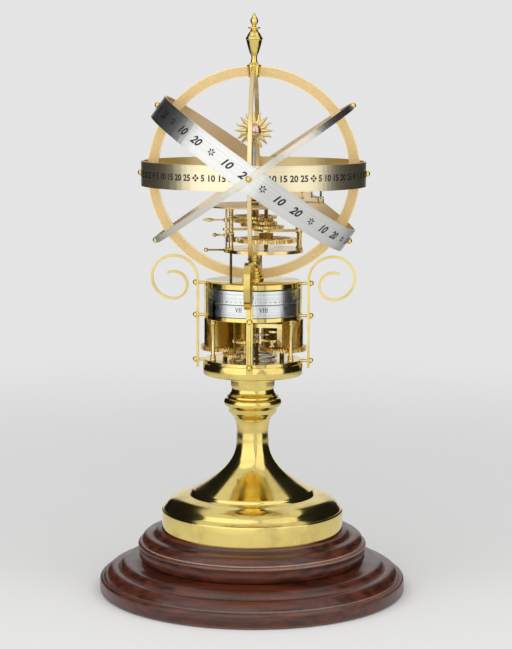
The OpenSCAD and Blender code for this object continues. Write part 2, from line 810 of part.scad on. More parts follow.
module third_wheel() {
    color("gold") at(third_pos) {
        train_arbor(z_floor + side_gap, z_middle - side_gap);
        pinion(small_pinion_teeth, mod_train, 2.4, z_centre_wheel - 0.4, 0,
            180 + third_line + facing(small_pinion_teeth));
        wheel(third_teeth, mod_train, wheel_t, z_third_wheel, 0, 2.6);
        disc(1.8, 1.2, z_third_wheel - 1);
    }
}

module fourth_wheel() {
    color("gold") at(fourth_pos) {
        train_arbor(z_floor + side_gap, z_middle - side_gap);
        pinion(small_pinion_teeth, mod_train, 3, z_third_wheel - 0.7);
        wheel(fourth_teeth, mod_train, wheel_t, z_fourth, 0, 2.6, 5, escape_line);
        disc(1.8, 1.4, z_fourth + wheel_t - e);
    }
}

module escape_wheel() {
    r = 4.2;
    color("gold") at(escape_pos) {
        train_arbor(z_floor + side_gap, z_platform - side_gap);
        pinion(escape_pinion_teeth, mod_train, 3.2, z_fourth - 0.8, 0,
            180 + escape_line + facing(escape_pinion_teeth));
        translate([0, 0, z_escape]) linear_extrude(1) difference() {
            polygon([for (i = [0:escape_teeth - 1], k = [0:2])
                polar([r - 1.1, r, r - 1.1][k], (i + [0, 0.42, 0.5][k]) * 360 / escape_teeth)]);
            crossed2d(r - 1.9, 1.4, 4, 0.7);
        }
    }
}

module pallet_lever() {
    color("silver") at(pallet_pos) {
        disc(pivot_r, z_platform + 1.4 - z_escape + 4, z_escape - 4);
        translate([0, 0, z_lever + 0.05]) rotate([0, 0, lever_line]) linear_extrude(0.9) {
            circle(r = 1.1, $fn = 32);
            translate([0, -0.35]) square([3.6, 0.7]);
            translate([-0.35, -2.6]) square([0.7, 5.2]);
        }
    }
}

balance_r = 5.6;

module balance_wheel() {
    color("gold") at(balance_pos) {
        disc(0.8, z_platform - side_gap - z_escape + 2.4, z_escape - 2.4);
        disc(0.4, z_platform + 1.4 - z_escape + 3.8, z_escape - 3.8);
        translate([0, 0, z_balance]) linear_extrude(1.4) {
            difference() {
                circle(r = balance_r);
                circle(r = balance_r - 1.1);
            }
            rotate(20) translate([-balance_r + 0.5, -0.6]) square([2 * balance_r - 1, 1.2]);
            circle(r = 1.6, $fn = 32);
        }
    }
}

// Hairspring: one flat spiral strip from the collet to the stud
spring_turns = 5;
spring_in = 1.4;
spring_out = 4.6;
spring_t = 0.16;

module hairspring() {
    n = spring_turns * 16;
    grow = (spring_out - spring_in) / n;
    side = function (o) [for (i = [0:n]) polar(spring_in + grow * i + o, i * 360 / 16)];
    outer = side(spring_t / 2);
    inner = side(-spring_t / 2);
    color("steelblue") {
        at(balance_pos, z_balance + 1.9) linear_extrude(0.7)
            polygon(concat(outer, [for (i = [n:-1:0]) inner[i]]));
        at(balance_pos + [spring_out, 0], z_balance + 1.9)
            cylinder(r = 0.4, h = z_platform - z_balance - 1.9, $fn = 24);
    }
}

module escapement_platform() {
    x0 = escape_pos[0] - 6;
    y0 = balance_pos[1] - balance_r - 1.1;
    w = 25.6;
    d = 13.4;
    post_w = 3.7;
    post_d = 1.4;
    cock_t = 1.6;
    cock_z = z_escape - 4.4;
    cock_x = pallet_pos[0] - 2;
    block_x = 15;
    block_z = cock_z - 3.6;
    block_h = cock_t + 3.6;
    cock_y = y0 + 4.6;
    color("gold") difference() {
        union() {
            translate([x0, y0, z_platform]) cube([w, d, platform_t]);
            for (x = [x0 + 1.2, x0 + w - 4.2]) translate([x, y0 + d - 4, z_platform + platform_t - e])
                cube([3, 3, z_middle - z_platform - platform_t + e]);
            translate([x0 + w - post_w, y0, block_z]) cube([post_w, post_d, z_platform - block_z + e]);
            translate([x0 + w - post_d, y0 + d - post_d, block_z])
                cube([post_d, post_d, z_platform - block_z + e]);
            translate([cock_x, cock_y, cock_z]) cube([block_x + 1 - cock_x, 5, cock_t]);
            translate([block_x, y0 + e, block_z]) cube([x0 + w - block_x - e, d - 2 * e, block_h]);
        }
        for (p = [escape_pos, pallet_pos]) at(p, z_platform - 1)
            cylinder(r = pivot_r + fit, h = platform_t + 2, $fn = 32);
        at(pallet_pos, cock_z - 1) cylinder(r = pivot_r + fit, h = cock_t + 2, $fn = 32);
        at(balance_pos, z_platform - 1) cylinder(r = 0.4 + fit, h = platform_t + 2, $fn = 32);
        at(balance_pos, block_z - 1) cylinder(r = 0.4 + fit, h = block_h + 2, $fn = 32);
    }
}

// Chapter rings and the wheels between them
module hour_ring() {
    r = ring_d / 2;
    z_hour_wheel = z_dial + 3.6;
    web_t = 1.2;
    z_web = z_hour + hour_h - web_t - 0.2;
    color("silver") difference() {
        union() {
            tube(r, r - ring_wall, hour_h, z_hour);
            translate([0, 0, z_web]) linear_extrude(web_t) difference() {
                circle(r = r - ring_wall + 0.2);
                crossed2d(r - ring_wall - 3, 7, 4, 5);
            }
            disc(4, z_web - z_hour_wheel, z_hour_wheel);
            wheel(hour_teeth, mod_train, 2, z_hour_wheel, 0, 4.5, 5, stud_line + facing(hour_teeth));
        }
        translate([0, 0, z_hour_wheel - 1]) cylinder(r = centre_r + fit, h = hour_h + 2, $fn = 48);
    }
}

module minute_ring() {
    r = ring_d / 2;
    web_t = 1.2;
    color("silver") difference() {
        union() {
            tube(r, r - ring_wall, minute_h, z_minute);
            translate([0, 0, z_minute + 0.3]) linear_extrude(web_t) difference() {
                circle(r = r - ring_wall + 0.2);
                crossed2d(r - ring_wall - 3, 7, 4, 5);
            }
            disc(4, 3, z_minute + 0.3);
        }
        translate([0, 0, z_minute - 1]) cylinder(r = centre_r, h = 5);
    }
}

module minute_wheel() {
    color("gold") at(stud_pos) {
        wheel(minute_teeth, mod_train, wheel_t, z_dial + 0.9, stud_r + fit, 5, 5,
            180 + stud_line + facing(minute_teeth));
        pinion(minute_pinion_teeth, mod_train, 3.4, z_dial + 0.9 + wheel_t - e, stud_r + fit,
            180 + stud_line);
    }
}

module reduction_box() {
    z0 = z_minute + 5;
    w = 9;
    color("gold") difference() {
        translate([0, 0, z0]) linear_extrude(z_top - z0) {
            bar([0, 0], drive_pos, w - 1);
            for (p = [[0, 0], drive_pos]) translate(p) circle(d = w);
        }
        at(drive_pos, z0 + 1.5) cylinder(r = arbor_r + 0.6, h = z_top - z0, $fn = 32);
    }
}

// Planetarium levels
z_year = z_cage + 5.6;
year_t = 3;
z_bridge = z_cage + 13;
bridge_t = 1.8;
z_mercury = z_bridge + bridge_t + 1.2;
planet_t = 2;
planet_step = planet_t + 1;
z_venus = z_mercury + planet_step;
z_earth = z_venus + planet_step;
arm_t = 1.4;
arm_w = 2.6;
z_arm = [z_table + table_t + 1.4, z_table + table_t + 4.2, z_table + table_t + 7.0];

module orrery_plate() {
    color("gold") difference() {
        at(deck_pos, z_deck) cylinder(d = deck_d, h = deck_t);
        at(drive_pos, z_deck - 1) cylinder(r = arbor_r + fit, h = deck_t + 2, $fn = 32);
        at(cluster_pos, z_deck - 1) cylinder(r = pivot_r + fit, h = deck_t + 2, $fn = 32);
        edge_rod_frame() translate([0, 0, -edge_rod_deep])
            cylinder(r = edge_rod_r, h = edge_rod_deep + 1, $fn = 32);
    }
}

nut_stud_r = 1;
cage_pillar_r = 1.3;
left_pillar_r = 0.8;
knob_z = z_bridge - 2;
bead_z = [z_cage + 15.6, z_cage + 17.4, z_cage + 22.8, z_cage + 24.6, z_cage + 26.4];

module cage_pillars() {
    r = cage_pillar_r;
    color("gold") {
        for (p = cage_pillar_pos) at(p) turned(concat(
            [[0, z_cage], [2.0, z_cage], [2.0, z_cage + 1.2], [r, z_cage + 2]],
            [[r, knob_z], [2.0, knob_z + 0.3], [2.4, knob_z + 1.2], [2.0, knob_z + 2.1], [r, knob_z + 2.4]],
            [for (z = bead_z, k = [0:3]) [[r, 1.8, 1.8, r][k], z + [0, 0.6, 1, 1.6][k]]],
            [[r, z_table - 2], [2.0, z_table - 1.2], [2.0, z_table], [0, z_table]]));
        at(left_pillar_pos) disc(left_pillar_r, cage_h, z_cage);
        at(nut_pillar_pos) turned([[0, z_cage], [1.9, z_cage], [1.9, z_cage + 1.4], [1.5, z_cage + 2.2],
            [1.5, z_bridge - 2.2], [1.9, z_bridge - 1.4], [1.9, z_bridge], [0, z_bridge]]);
        at(nut_pillar_pos) disc(nut_stud_r, bridge_t + 2 * e, z_bridge - e);
        at(nut_pillar_pos, z_bridge + bridge_t) turned([[0, 0], [3.2, 0], [3.2, 1.2], [2.2, 2.2], [2.4, 3.2],
            [0, 3.8]]);
    }
}

bridge_stops = [nut_pillar_pos, cluster_pos, [0, 0], left_pillar_pos];

module orrery_bridge() {
    color("gold") difference() {
        translate([0, 0, z_bridge]) linear_extrude(bridge_t) {
            for (i = [0:2]) bar(bridge_stops[i], bridge_stops[i + 1], 5);
            for (i = [0:3]) translate(bridge_stops[i]) circle(r = i < 3 ? 3.4 : 2.6);
        }
        at(cluster_pos, z_bridge - 1) cylinder(r = centre_r + fit, h = bridge_t + 2, $fn = 32);
        at(left_pillar_pos, z_bridge - 1) cylinder(r = left_pillar_r, h = bridge_t + 2);
        at(nut_pillar_pos, z_bridge - 1) cylinder(r = nut_stud_r, h = bridge_t + 2);
        translate([0, 0, z_bridge - 1]) cylinder(r = post_r, h = bridge_t + 2);
    }
}

module planet_table() {
    color("tan") difference() {
        disc(table_d / 2, table_t, z_table);
        translate([0, 0, z_table - 1]) cylinder(r = tube_out(2) + fit, h = table_t + 2, $fn = 64);
        at(cluster_pos, z_table - 1) cylinder(r = pivot_r + fit, h = table_t + 2, $fn = 32);
        at(drive_pos, z_table - 1) cylinder(r = pivot_r + fit, h = table_t + 2, $fn = 32);
    }
}

z_sun = z_table + table_t + sun_rise;

module sun_post() {
    color("silver") disc(post_r, z_sun - sun_d * 0.3 - z_bridge, z_bridge);
}

module sun_ball() {
    color("goldenrod") difference() {
        translate([0, 0, z_sun]) sphere(d = sun_d);
        disc(post_r, sun_d, z_sun - sun_d * 1.3);
    }
}

flames = 16;

// Flat ring of pointed flames, every second one longer, standing upright behind the ball's face
module sun_rays() {
    r0 = sun_d / 2 - 0.6;
    long = sun_span / 2;
    short = long * 0.78;
    color("gold") difference() {
        in_front() translate([0, 0, -0.6]) linear_extrude(1.2) polygon([for (i = [0:flames - 1], k = [0:1])
            polar(k == 0 ? (i % 2 == 0 ? long : short) : r0 + 1.3, (i + k / 2) * 360 / flames)]);
        translate([0, 0, z_sun]) sphere(d = sun_d);
        disc(post_r, sun_d * 2, z_sun - sun_d * 2);
    }
}

module in_front() {
    translate([0, 0, z_sun]) rotate([0, 0, sphere_turn]) rotate([90, 0, 0]) children();
}

// Tapered rod on the left pillar, and ball-ended rod in the edge of the planetarium plate
rod_reach = 18.6;
edge_rod_line = 186;
edge_rod_r = 0.7;
edge_rod_reach = 13.3;
edge_rod_deep = 3;

module edge_rod_frame() {
    at(deck_pos, z_deck + deck_t / 2) radial(edge_rod_line) translate([0, 0, deck_d / 2]) children();
}

module side_rods() {
    z = z_cage + 20.8;
    color("gold") {
        difference() {
            union() {
                at(left_pillar_pos, z) rotate([0, -90, 0]) turned([[0, 1], [0.7, 1], [0.7, rod_reach - 9],
                    [1.3, rod_reach - 7], [1.4, rod_reach - 5], [0.9, rod_reach - 2], [0, rod_reach]]);
                at(left_pillar_pos, z - 1.5) cylinder(r = 1.8, h = 3);
            }
            at(left_pillar_pos, z - 4) cylinder(r = left_pillar_r, h = 8);
        }
        edge_rod_frame() {
            translate([0, 0, -edge_rod_deep])
                cylinder(r = edge_rod_r, h = edge_rod_deep + edge_rod_reach, $fn = 32);
            translate([0, 0, edge_rod_reach]) sphere(d = 3.4, $fn = 48);
        }
    }
}

// Ball-ended lever that turns on the left pillar
lever_z = z_cage + 9.4;
setting_reach = 8.8;

module setting_lever() {
    color("gold") at(left_pillar_pos, lever_z) difference() {
        union() {
            translate([0, 0, -1.2]) cylinder(r = 1.8, h = 2.4);
            rotate([0, -90, 0]) cylinder(r = 0.7, h = setting_reach, $fn = 32);
            rotate([0, -90, 0]) translate([0, 0, setting_reach]) sphere(d = 3.2, $fn = 48);
        }
        translate([0, 0, -4]) cylinder(r = left_pillar_r + fit, h = 8, $fn = 48);
    }
}

module drive_arbor() {
    z0 = z_minute + 7;
    color("silver") at(drive_pos) {
        disc(arbor_r - 0.2, z_deck - z0, z0);
        disc(arbor_r, z_cage + 1.2 - z_top, z_top);
        disc(1.7, cage_h - 1, z_cage + 0.4);
        disc(pivot_r, 2.2, z_table - 1);
        disc(2.4, 2.4, z_year + year_t + 0.4);
        pinion(drive_teeth, mod_barrel, year_t + 0.6, z_year - 0.3, 0,
            drive_line - 180 + facing(drive_teeth));
    }
}

module planet_cluster() {
    color("gold") at(cluster_pos) {
        disc(centre_r, z_bridge + bridge_t + 1 - z_cage - 0.4, z_cage + 0.4);
        disc(pivot_r, z_table + table_t - 0.2 - z_deck - 0.6, z_deck + 0.6);
        disc(1.4, z_table - 0.5 - z_bridge - bridge_t, z_bridge + bridge_t);
        wheel(year_teeth, mod_barrel, year_t, z_year, 0, 6, 5, drive_line);
        disc(5.4, z_bridge - 0.6 - z_year - year_t, z_year + year_t - e);
        wheel(mercury_driver, mod_planet, planet_t, z_mercury, 0, 4, 5, 180 + cluster_line);
        wheel(venus_driver, mod_planet, planet_t, z_venus, 0, 3, 5, 180 + cluster_line);
        pinion(earth_driver, mod_planet, planet_t, z_earth, 0, 180 + cluster_line);
        disc(2.6, z_earth - z_mercury, z_mercury);
    }
}

module planet_tube(n, teeth, z, z_top_end) {
    difference() {
        union() {
            wheel(teeth, mod_planet, planet_t, z, 0, 6, 6, cluster_line + facing(teeth));
            disc(tube_out(n), z_top_end - z, z);
        }
        translate([0, 0, z - 1]) cylinder(r = tube_in(n), h = z_top_end - z + 2, $fn = 64);
    }
}

module planet_bar(n, z, angle, reach) {
    difference() {
        translate([0, 0, z]) linear_extrude(arm_t) {
            circle(r = tube_out(n) + 1.6);
            rotate(angle) translate([0, -arm_w / 2]) square([reach, arm_w]);
            rotate(angle) translate([reach, 0]) circle(d = arm_w + 0.8, $fn = 48);
        }
        translate([0, 0, z - 1]) cylinder(r = tube_in(n), h = arm_t + 2, $fn = 64);
    }
}

earth_angle = 4;
venus_angle = 12;
mercury_angle = 100;
moon_angle = 175;
z_earth_ball = z_sphere - 2;
earth_ball_d = 9;
earth_post_r = 0.8;
moon_r = 1.6;

module earth_arm() {
    color("gold") {
        planet_tube(2, earth_teeth, z_earth, z_arm[0] + arm_t);
        difference() {
            union() {
                planet_bar(2, z_arm[0], earth_angle, earth_path);
                at(polar(earth_path, earth_angle), z_arm[0]) cylinder(r = 2.4, h = arm_t + 2.2);
            }
            at(polar(earth_path, earth_angle), z_arm[0] + 1)
                cylinder(r = earth_post_r + fit, h = 8, $fn = 32);
        }
    }
}

module planet_wire(r, angle, z, z_ball, d) {
    at(polar(r, angle)) {
        disc(0.5, z_ball - z, z);
        translate([0, 0, z_ball]) sphere(d = d, $fn = 48);
    }
}

module venus_arm() {
    color("gold") {
        planet_tube(1, venus_teeth, z_venus, z_arm[1] + arm_t);
        planet_bar(1, z_arm[1], venus_angle, venus_path);
        planet_wire(venus_path, venus_angle, z_arm[1] + 0.4, z_arm[1] + 7, 4.2);
    }
}

module mercury_arm() {
    color("gold") {
        planet_tube(0, mercury_teeth, z_mercury, z_arm[2] + arm_t);
        planet_bar(0, z_arm[2], mercury_angle, mercury_path);
        planet_wire(mercury_path, mercury_angle, z_arm[2] + 0.4, z_arm[2] + 6, 3);
    }
}

z_moon_arm = z_arm[0] + arm_t + 2.6;

module moon_arm() {
    color("silver") at(polar(earth_path, earth_angle)) rotate([0, 0, moon_angle]) {
        difference() {
            translate([0, 0, z_moon_arm]) linear_extrude(1.2) {
                circle(r = 2.2, $fn = 48);
                translate([0, -0.7]) square([moon_path, 1.4]);
            }
            translate([0, 0, z_moon_arm - 1]) cylinder(r = earth_post_r + fit, h = 4, $fn = 32);
        }
        translate([moon_path, 0, z_moon_arm]) cylinder(r = 0.6, h = z_earth_ball - z_moon_arm, $fn = 32);
        translate([moon_path, 0, z_earth_ball]) sphere(r = moon_r, $fn = 48);
    }
}

module earth_globe() {
    color("steelblue") at(polar(earth_path, earth_angle)) {
        disc(earth_post_r, z_earth_ball - z_arm[0] - 1.2, z_arm[0] + 1.2);
        translate([0, 0, z_earth_ball]) sphere(d = earth_ball_d);
    }
}

felt_pad();
wood_plinth();
wood_step();
brass_foot();
foot_knop();
clamp_rod();
clamp_nuts();
drum_base();
lower_plate();
drum_pillars();
middle_plate();
top_plate();
scroll_brackets();
bracket_spacers();
ball_screws();
ring_guards();
time_pointer();
column();
meridian_ring();
colure_ring();
equator_band();
ecliptic_band();
lunar_band();
band_spacers();
pole_boss();
finial();
orrery_plate();
cage_pillars();
orrery_bridge();
planet_table();
sun_post();
sun_ball();
sun_rays();
side_rods();
setting_lever();
reduction_box();
escapement_platform();
hairspring();
barrel_left();
barrel_right();
mainspring_left();
mainspring_right();
winding_arbor_left();
winding_arbor_right();
centre_arbor();
third_wheel();
fourth_wheel();
escape_wheel();
pallet_lever();
balance_wheel();
hour_ring();
minute_ring();
minute_wheel();
drive_arbor();
planet_cluster();
earth_arm();
venus_arm();
mercury_arm();
moon_arm();
earth_globe();
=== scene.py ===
"""Looks of the orrery clock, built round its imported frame. Metres, +Z up, front towards -Y.

Parts whose solids are right keep their shape in a merged copy with smooth shading and broken
edges. New here are the numerals and ornaments on the rings and bands, the flames of the sun,
and every material.
"""

import json
import math

import bmesh
import bpy
from mathutils import Matrix, Vector

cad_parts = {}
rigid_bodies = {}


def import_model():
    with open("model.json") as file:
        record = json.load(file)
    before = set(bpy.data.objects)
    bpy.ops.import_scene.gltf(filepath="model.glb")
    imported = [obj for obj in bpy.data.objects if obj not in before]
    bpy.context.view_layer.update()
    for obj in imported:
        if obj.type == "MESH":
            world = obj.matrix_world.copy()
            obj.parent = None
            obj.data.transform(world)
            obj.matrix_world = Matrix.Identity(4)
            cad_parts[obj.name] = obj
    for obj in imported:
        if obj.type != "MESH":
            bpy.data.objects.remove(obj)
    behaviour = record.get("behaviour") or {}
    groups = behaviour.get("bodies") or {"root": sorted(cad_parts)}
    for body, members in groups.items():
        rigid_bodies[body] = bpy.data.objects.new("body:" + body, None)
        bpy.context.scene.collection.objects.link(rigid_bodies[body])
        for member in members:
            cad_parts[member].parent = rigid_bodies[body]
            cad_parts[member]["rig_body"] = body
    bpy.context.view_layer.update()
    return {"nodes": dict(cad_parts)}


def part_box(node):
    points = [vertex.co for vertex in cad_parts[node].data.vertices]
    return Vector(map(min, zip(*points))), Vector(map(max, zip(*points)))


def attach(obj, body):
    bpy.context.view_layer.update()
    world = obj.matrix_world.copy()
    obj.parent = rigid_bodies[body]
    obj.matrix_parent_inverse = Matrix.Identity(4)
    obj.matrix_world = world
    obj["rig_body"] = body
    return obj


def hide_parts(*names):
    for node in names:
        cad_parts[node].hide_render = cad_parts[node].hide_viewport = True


bl_info = {
    "name": "Orrery clock",
    "version": (1, 0, 0),
    "blender": (4, 5, 0),
    "location": "View3D > Sidebar > Orrery",
    "description": "Finishes the parts of an orrery clock and sets up a plain studio round it",
    "category": "Object",
}

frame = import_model()
NODES = frame["nodes"]

MM = 0.001


def low(node):
    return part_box(node)[0]


def high(node):
    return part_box(node)[1]


# Places that the finishes and the numerals need, read from the frame
SPHERE = Vector((0, 0, (low("meridian_ring").z + high("meridian_ring").z) / 2))
SPHERE_TURN = math.radians(3.7)
ECLIPTIC_TILT = math.radians(35)
LUNAR_TILT = math.radians(-34.5)
BAND_HALF = (high("equator_band").z - low("equator_band").z) / 2
RING_OUT = high("hour_ring").x
POLE_R = high("meridian_ring").z - SPHERE.z


def reach(node):
    """Largest distance of a node's corners from the middle of the sphere"""
    return max((v.co - SPHERE).length for v in NODES[node].data.vertices)


def wall(node):
    """Outer radius of a band, from the distance of its outer edges"""
    return math.sqrt(reach(node) ** 2 - BAND_HALF ** 2)


# Colours


def linear(code):
    """sRGB hex to linear RGBA"""
    parts = [int(code[i:i + 2], 16) / 255 for i in (1, 3, 5)]
    parts = [c / 12.92 if c <= 0.04045 else ((c + 0.055) / 1.055) ** 2.4 for c in parts]
    return (*parts, 1.0)


def colour_property(label, words, code):
    return bpy.props.FloatVectorProperty(name=label, description=words, subtype="COLOR", size=4,
                                         min=0, max=1, default=linear(code))


def length_property(label, words, mm):
    return bpy.props.FloatProperty(name=label, description=words, subtype="DISTANCE", unit="LENGTH",
                                   min=0, default=mm * MM)


class OrreryColours(bpy.types.PropertyGroup):
    wood_dark: colour_property("Dark wood", "Late grain of the mahogany", "#260b04")
    wood_light: colour_property("Light wood", "Early grain of the mahogany", "#6b2c12")
    brass: colour_property("Brass", "Polished and lacquered brass", "#f0da84")
    gilt: colour_property("Gilt brass", "Gilded brass of the small parts", "#ecd595")
    silver: colour_property("Silvering", "Silvered brass of the dials and bands", "#e8e9e6")
    engraving: colour_property("Engraving", "Black wax in the engraved figures", "#0c0a09")
    floor: colour_property("Floor", "Plain studio floor", "#f2f2f2")


class OrrerySizes(bpy.types.PropertyGroup):
    hour_height: length_property("Hour numerals", "Height of the numerals on the hour ring", 3.1)
    minute_height: length_property("Minute numerals", "Height of the numerals on the minute ring",
                                   3.4)
    day_height: length_property("Day numerals", "Height of the numerals on the level band", 4.9)
    degree_height: length_property("Degree numerals", "Height of the numerals on the slanting band",
                                   6.4)
    relief: length_property("Wax", "Thickness of the wax that fills the engraving", 0.08)
    flame_root: length_property("Flames", "Half the width of the sun's flames at the ball", 2.1)
    edge: length_property("Broken edges", "Radius of the broken edges", 0.2)


def sizes():
    return bpy.context.scene.orrery_sizes


def colours():
    return bpy.context.scene.orrery_colours


# Materials


# Inputs of a Mix node that blends two colours, and settings that several nodes share
SHARE, FIRST, SECOND = 0, 6, 7
COLOUR_MIX = {"data_type": "RGBA"}
SMOOTH_STEP = {"interpolation_type": "SMOOTHSTEP"}


def add(tree, kind, settings=None, inputs=None):
    """Adds a shader node, sets its properties, and sets or links its inputs

    A node that is given as an input is linked from the first output that its settings leave on.
    """
    node = tree.nodes.new("ShaderNode" + kind)
    for name, value in (settings or {}).items():
        setattr(node, name, value)
    for name, value in (inputs or {}).items():
        if isinstance(value, bpy.types.Node):
            value = next(output for output in value.outputs if output.enabled)
        if isinstance(value, bpy.types.NodeSocket):
            tree.links.new(value, node.inputs[name])
        else:
            node.inputs[name].default_value = value
    return node


def begin(name):
    made = bpy.data.materials.new(name)
    made.use_nodes = True
    made.node_tree.nodes.clear()
    return made, made.node_tree


def place(tree, size=(1, 1, 1), centre=(0, 0, 0)):
    """Object coordinates measured from a centre, in units of the given sizes"""
    where = add(tree, "TexCoord").outputs["Object"]
    moved = add(tree, "VectorMath", {"operation": "SUBTRACT"}, {0: where, 1: centre})
    return add(tree, "VectorMath", {"operation": "MULTIPLY"}, {0: moved, 1: [1 / s for s in size]})


def round_the_axis(tree, centre=(0, 0, 0), axis=(0, 0, 1)):
    """Coordinates that stay the same round an axis, as tool marks from a lathe do"""
    at = place(tree, centre=centre)
    along = add(tree, "VectorMath", {"operation": "DOT_PRODUCT"}, {0: at, 1: axis})
    foot = add(tree, "VectorMath", {"operation": "SCALE"}, {0: axis, "Scale": along})
    far = add(tree, "VectorMath", {"operation": "DISTANCE"}, {0: at, 1: foot})
    return add(tree, "CombineXYZ", None, {0: far, 2: along})


def two_shades(tree, pattern, start, full, first, second):
    """The first shade up to where a pattern starts to count, the second from where it's full"""
    share = add(tree, "MapRange", SMOOTH_STEP,
                {"Value": pattern, "From Min": start, "From Max": full})
    return add(tree, "Mix", COLOUR_MIX, {SHARE: share, FIRST: first, SECOND: second})


def finish_metal(tree, shade, rough, height, depth, softness=1.0):
    """Metal surface: a shade, a roughness, a fine relief and softly broken edges"""
    rounded = add(tree, "Bevel", {"samples": 4}, {"Radius": sizes().edge * softness})
    relief = add(tree, "Bump", None, {"Strength": 1.0, "Distance": depth, "Height": height,
                                      "Normal": rounded})
    shader = add(tree, "BsdfPrincipled", None,
                 {"Base Color": shade, "Metallic": 1.0, "Roughness": rough, "Normal": relief})
    add(tree, "OutputMaterial", None, {"Surface": shader})


def mahogany():
    """Turned mahogany, stained and French polished: dark open grain under a thin gloss"""
    made, tree = begin("french_polished_mahogany")
    # Length, width and depth of the fibres, which run along X as the board was cut
    figure = add(tree, "TexNoise", None,
                 {"Vector": place(tree, (250 * MM, 5.9 * MM, 3.6 * MM)), "Scale": 1, "Detail": 3})
    # Real pores are about 0.2 mm wide. They're drawn coarser, so that they show
    pores = add(tree, "TexNoise", None,
                {"Vector": place(tree, (17 * MM, 0.77 * MM, 0.67 * MM)), "Scale": 1, "Detail": 2})
    filled = add(tree, "MapRange", SMOOTH_STEP,
                 {"Value": pores, "From Min": 0.34, "From Max": 0.48, "To Min": 0.45})
    wood = two_shades(tree, figure, 0.22, 0.85, colours().wood_dark, colours().wood_light)
    wood = add(tree, "Mix", COLOUR_MIX, {SHARE: filled, FIRST: linear("#220d07"), SECOND: wood})
    # The arrises, where the surface turns away from its softened form, get pale wood: partly wear,
    # partly painted highlight
    rounded = add(tree, "Bevel", {"samples": 4}, {"Radius": 1.6 * MM})
    turned = add(tree, "VectorMath", {"operation": "DOT_PRODUCT"},
                 {0: rounded, 1: add(tree, "NewGeometry").outputs["Normal"]})
    # Pale colour on the arrises: worn wood and a painted highlight along the edges
    wood = two_shades(tree, turned, 0.995, 0.93, wood, linear("#e6bfa4"))
    relief = add(tree, "Bump", None, {"Strength": 0.6, "Distance": 0.05 * MM, "Height": filled,
                                      "Normal": rounded})
    gloss = add(tree, "MapRange", SMOOTH_STEP,
                {"Value": figure, "From Min": 0.3, "From Max": 0.7, "To Min": 0.34, "To Max": 0.46})
    shader = add(tree, "BsdfPrincipled", None,
                 {"Base Color": wood, "Roughness": gloss, "Coat Weight": 0.35,
                  "Coat Roughness": 0.12, "Coat IOR": 1.5, "Normal": relief})
    add(tree, "OutputMaterial", None, {"Surface": shader})
    return made


def felt():
    """Green baize: short matted wool, so no gloss"""
    made, tree = begin("wool_baize")
    fibres = add(tree, "TexNoise", None, {"Vector": place(tree), "Scale": 1 / (0.55 * MM),
                                          "Detail": 4, "Roughness": 0.7})
    shade = add(tree, "Mix", COLOUR_MIX,
                {SHARE: fibres, FIRST: linear("#10281a"), SECOND: linear("#2a5238")})
    relief = add(tree, "Bump", None,
                 {"Strength": 0.8, "Distance": 0.2 * MM, "Height": fibres})
    shader = add(tree, "BsdfPrincipled", None,
                 {"Base Color": shade, "Roughness": 0.95, "Sheen Weight": 0.4, "Normal": relief})
    add(tree, "OutputMaterial", None, {"Surface": shader})
    return made


def lathe_brass():
    """Brass polished on the lathe and lacquered: near mirror, with faint turning lines"""
    made, tree = begin("lacquered_lathe_brass")
    # Turning lines are under 0.1 mm apart. All tool marks here are drawn coarser, so that they show
    lines = add(tree, "TexNoise", None,
                {"Vector": round_the_axis(tree), "Scale": 1 / (0.4 * MM), "Detail": 2})
    handled = add(tree, "TexNoise", None, {"Vector": place(tree), "Scale": 1 / (26 * MM),
                                           "Detail": 4, "Roughness": 0.6})
    shade = two_shades(tree, handled, 0.42, 0.75, colours().brass, linear("#d9bf72"))
    rough = add(tree, "MapRange", SMOOTH_STEP,
                {"Value": handled, "From Min": 0.3, "From Max": 0.75, "To Min": 0.09, "To Max": 0.2})
    finish_metal(tree, shade, rough, lines, 0.0015 * MM)
    return made


def gilt_brass():
    """Brass wheels and plates, grained and gilded: soft gold gloss"""
    made, tree = begin("grained_gilt_brass")
    graining = add(tree, "TexNoise", None,
                   {"Vector": place(tree), "Scale": 1 / (0.3 * MM), "Detail": 3})
    patches = add(tree, "TexNoise", None,
                  {"Vector": place(tree), "Scale": 1 / (8 * MM), "Detail": 3})
    shade = two_shades(tree, patches, 0.35, 0.75, colours().gilt, linear("#dfc27c"))
    rough = add(tree, "MapRange", SMOOTH_STEP,
                {"Value": patches, "From Min": 0.3, "From Max": 0.7, "To Min": 0.16, "To Max": 0.3})
    finish_metal(tree, shade, rough, graining, 0.002 * MM, 0.6)
    return made


def strip_brass():
    """Rolled brass strip, bent and polished: bright with fine scratches along the strip"""
    made, tree = begin("polished_brass_strip")
    # The scratches are twenty times as long as they're wide
    lines = add(tree, "TexNoise", None,
                {"Vector": place(tree, (1, 1, 20)), "Scale": 1 / (0.4 * MM), "Detail": 2})
    patches = add(tree, "TexNoise", None,
                  {"Vector": place(tree), "Scale": 1 / (16 * MM), "Detail": 3})
    shade = two_shades(tree, patches, 0.35, 0.75, linear("#dcc678"), linear("#cdb362"))
    rough = add(tree, "MapRange", SMOOTH_STEP,
                {"Value": patches, "From Min": 0.3, "From Max": 0.7, "To Min": 0.12, "To Max": 0.22})
    finish_metal(tree, shade, rough, lines, 0.002 * MM)
    return made


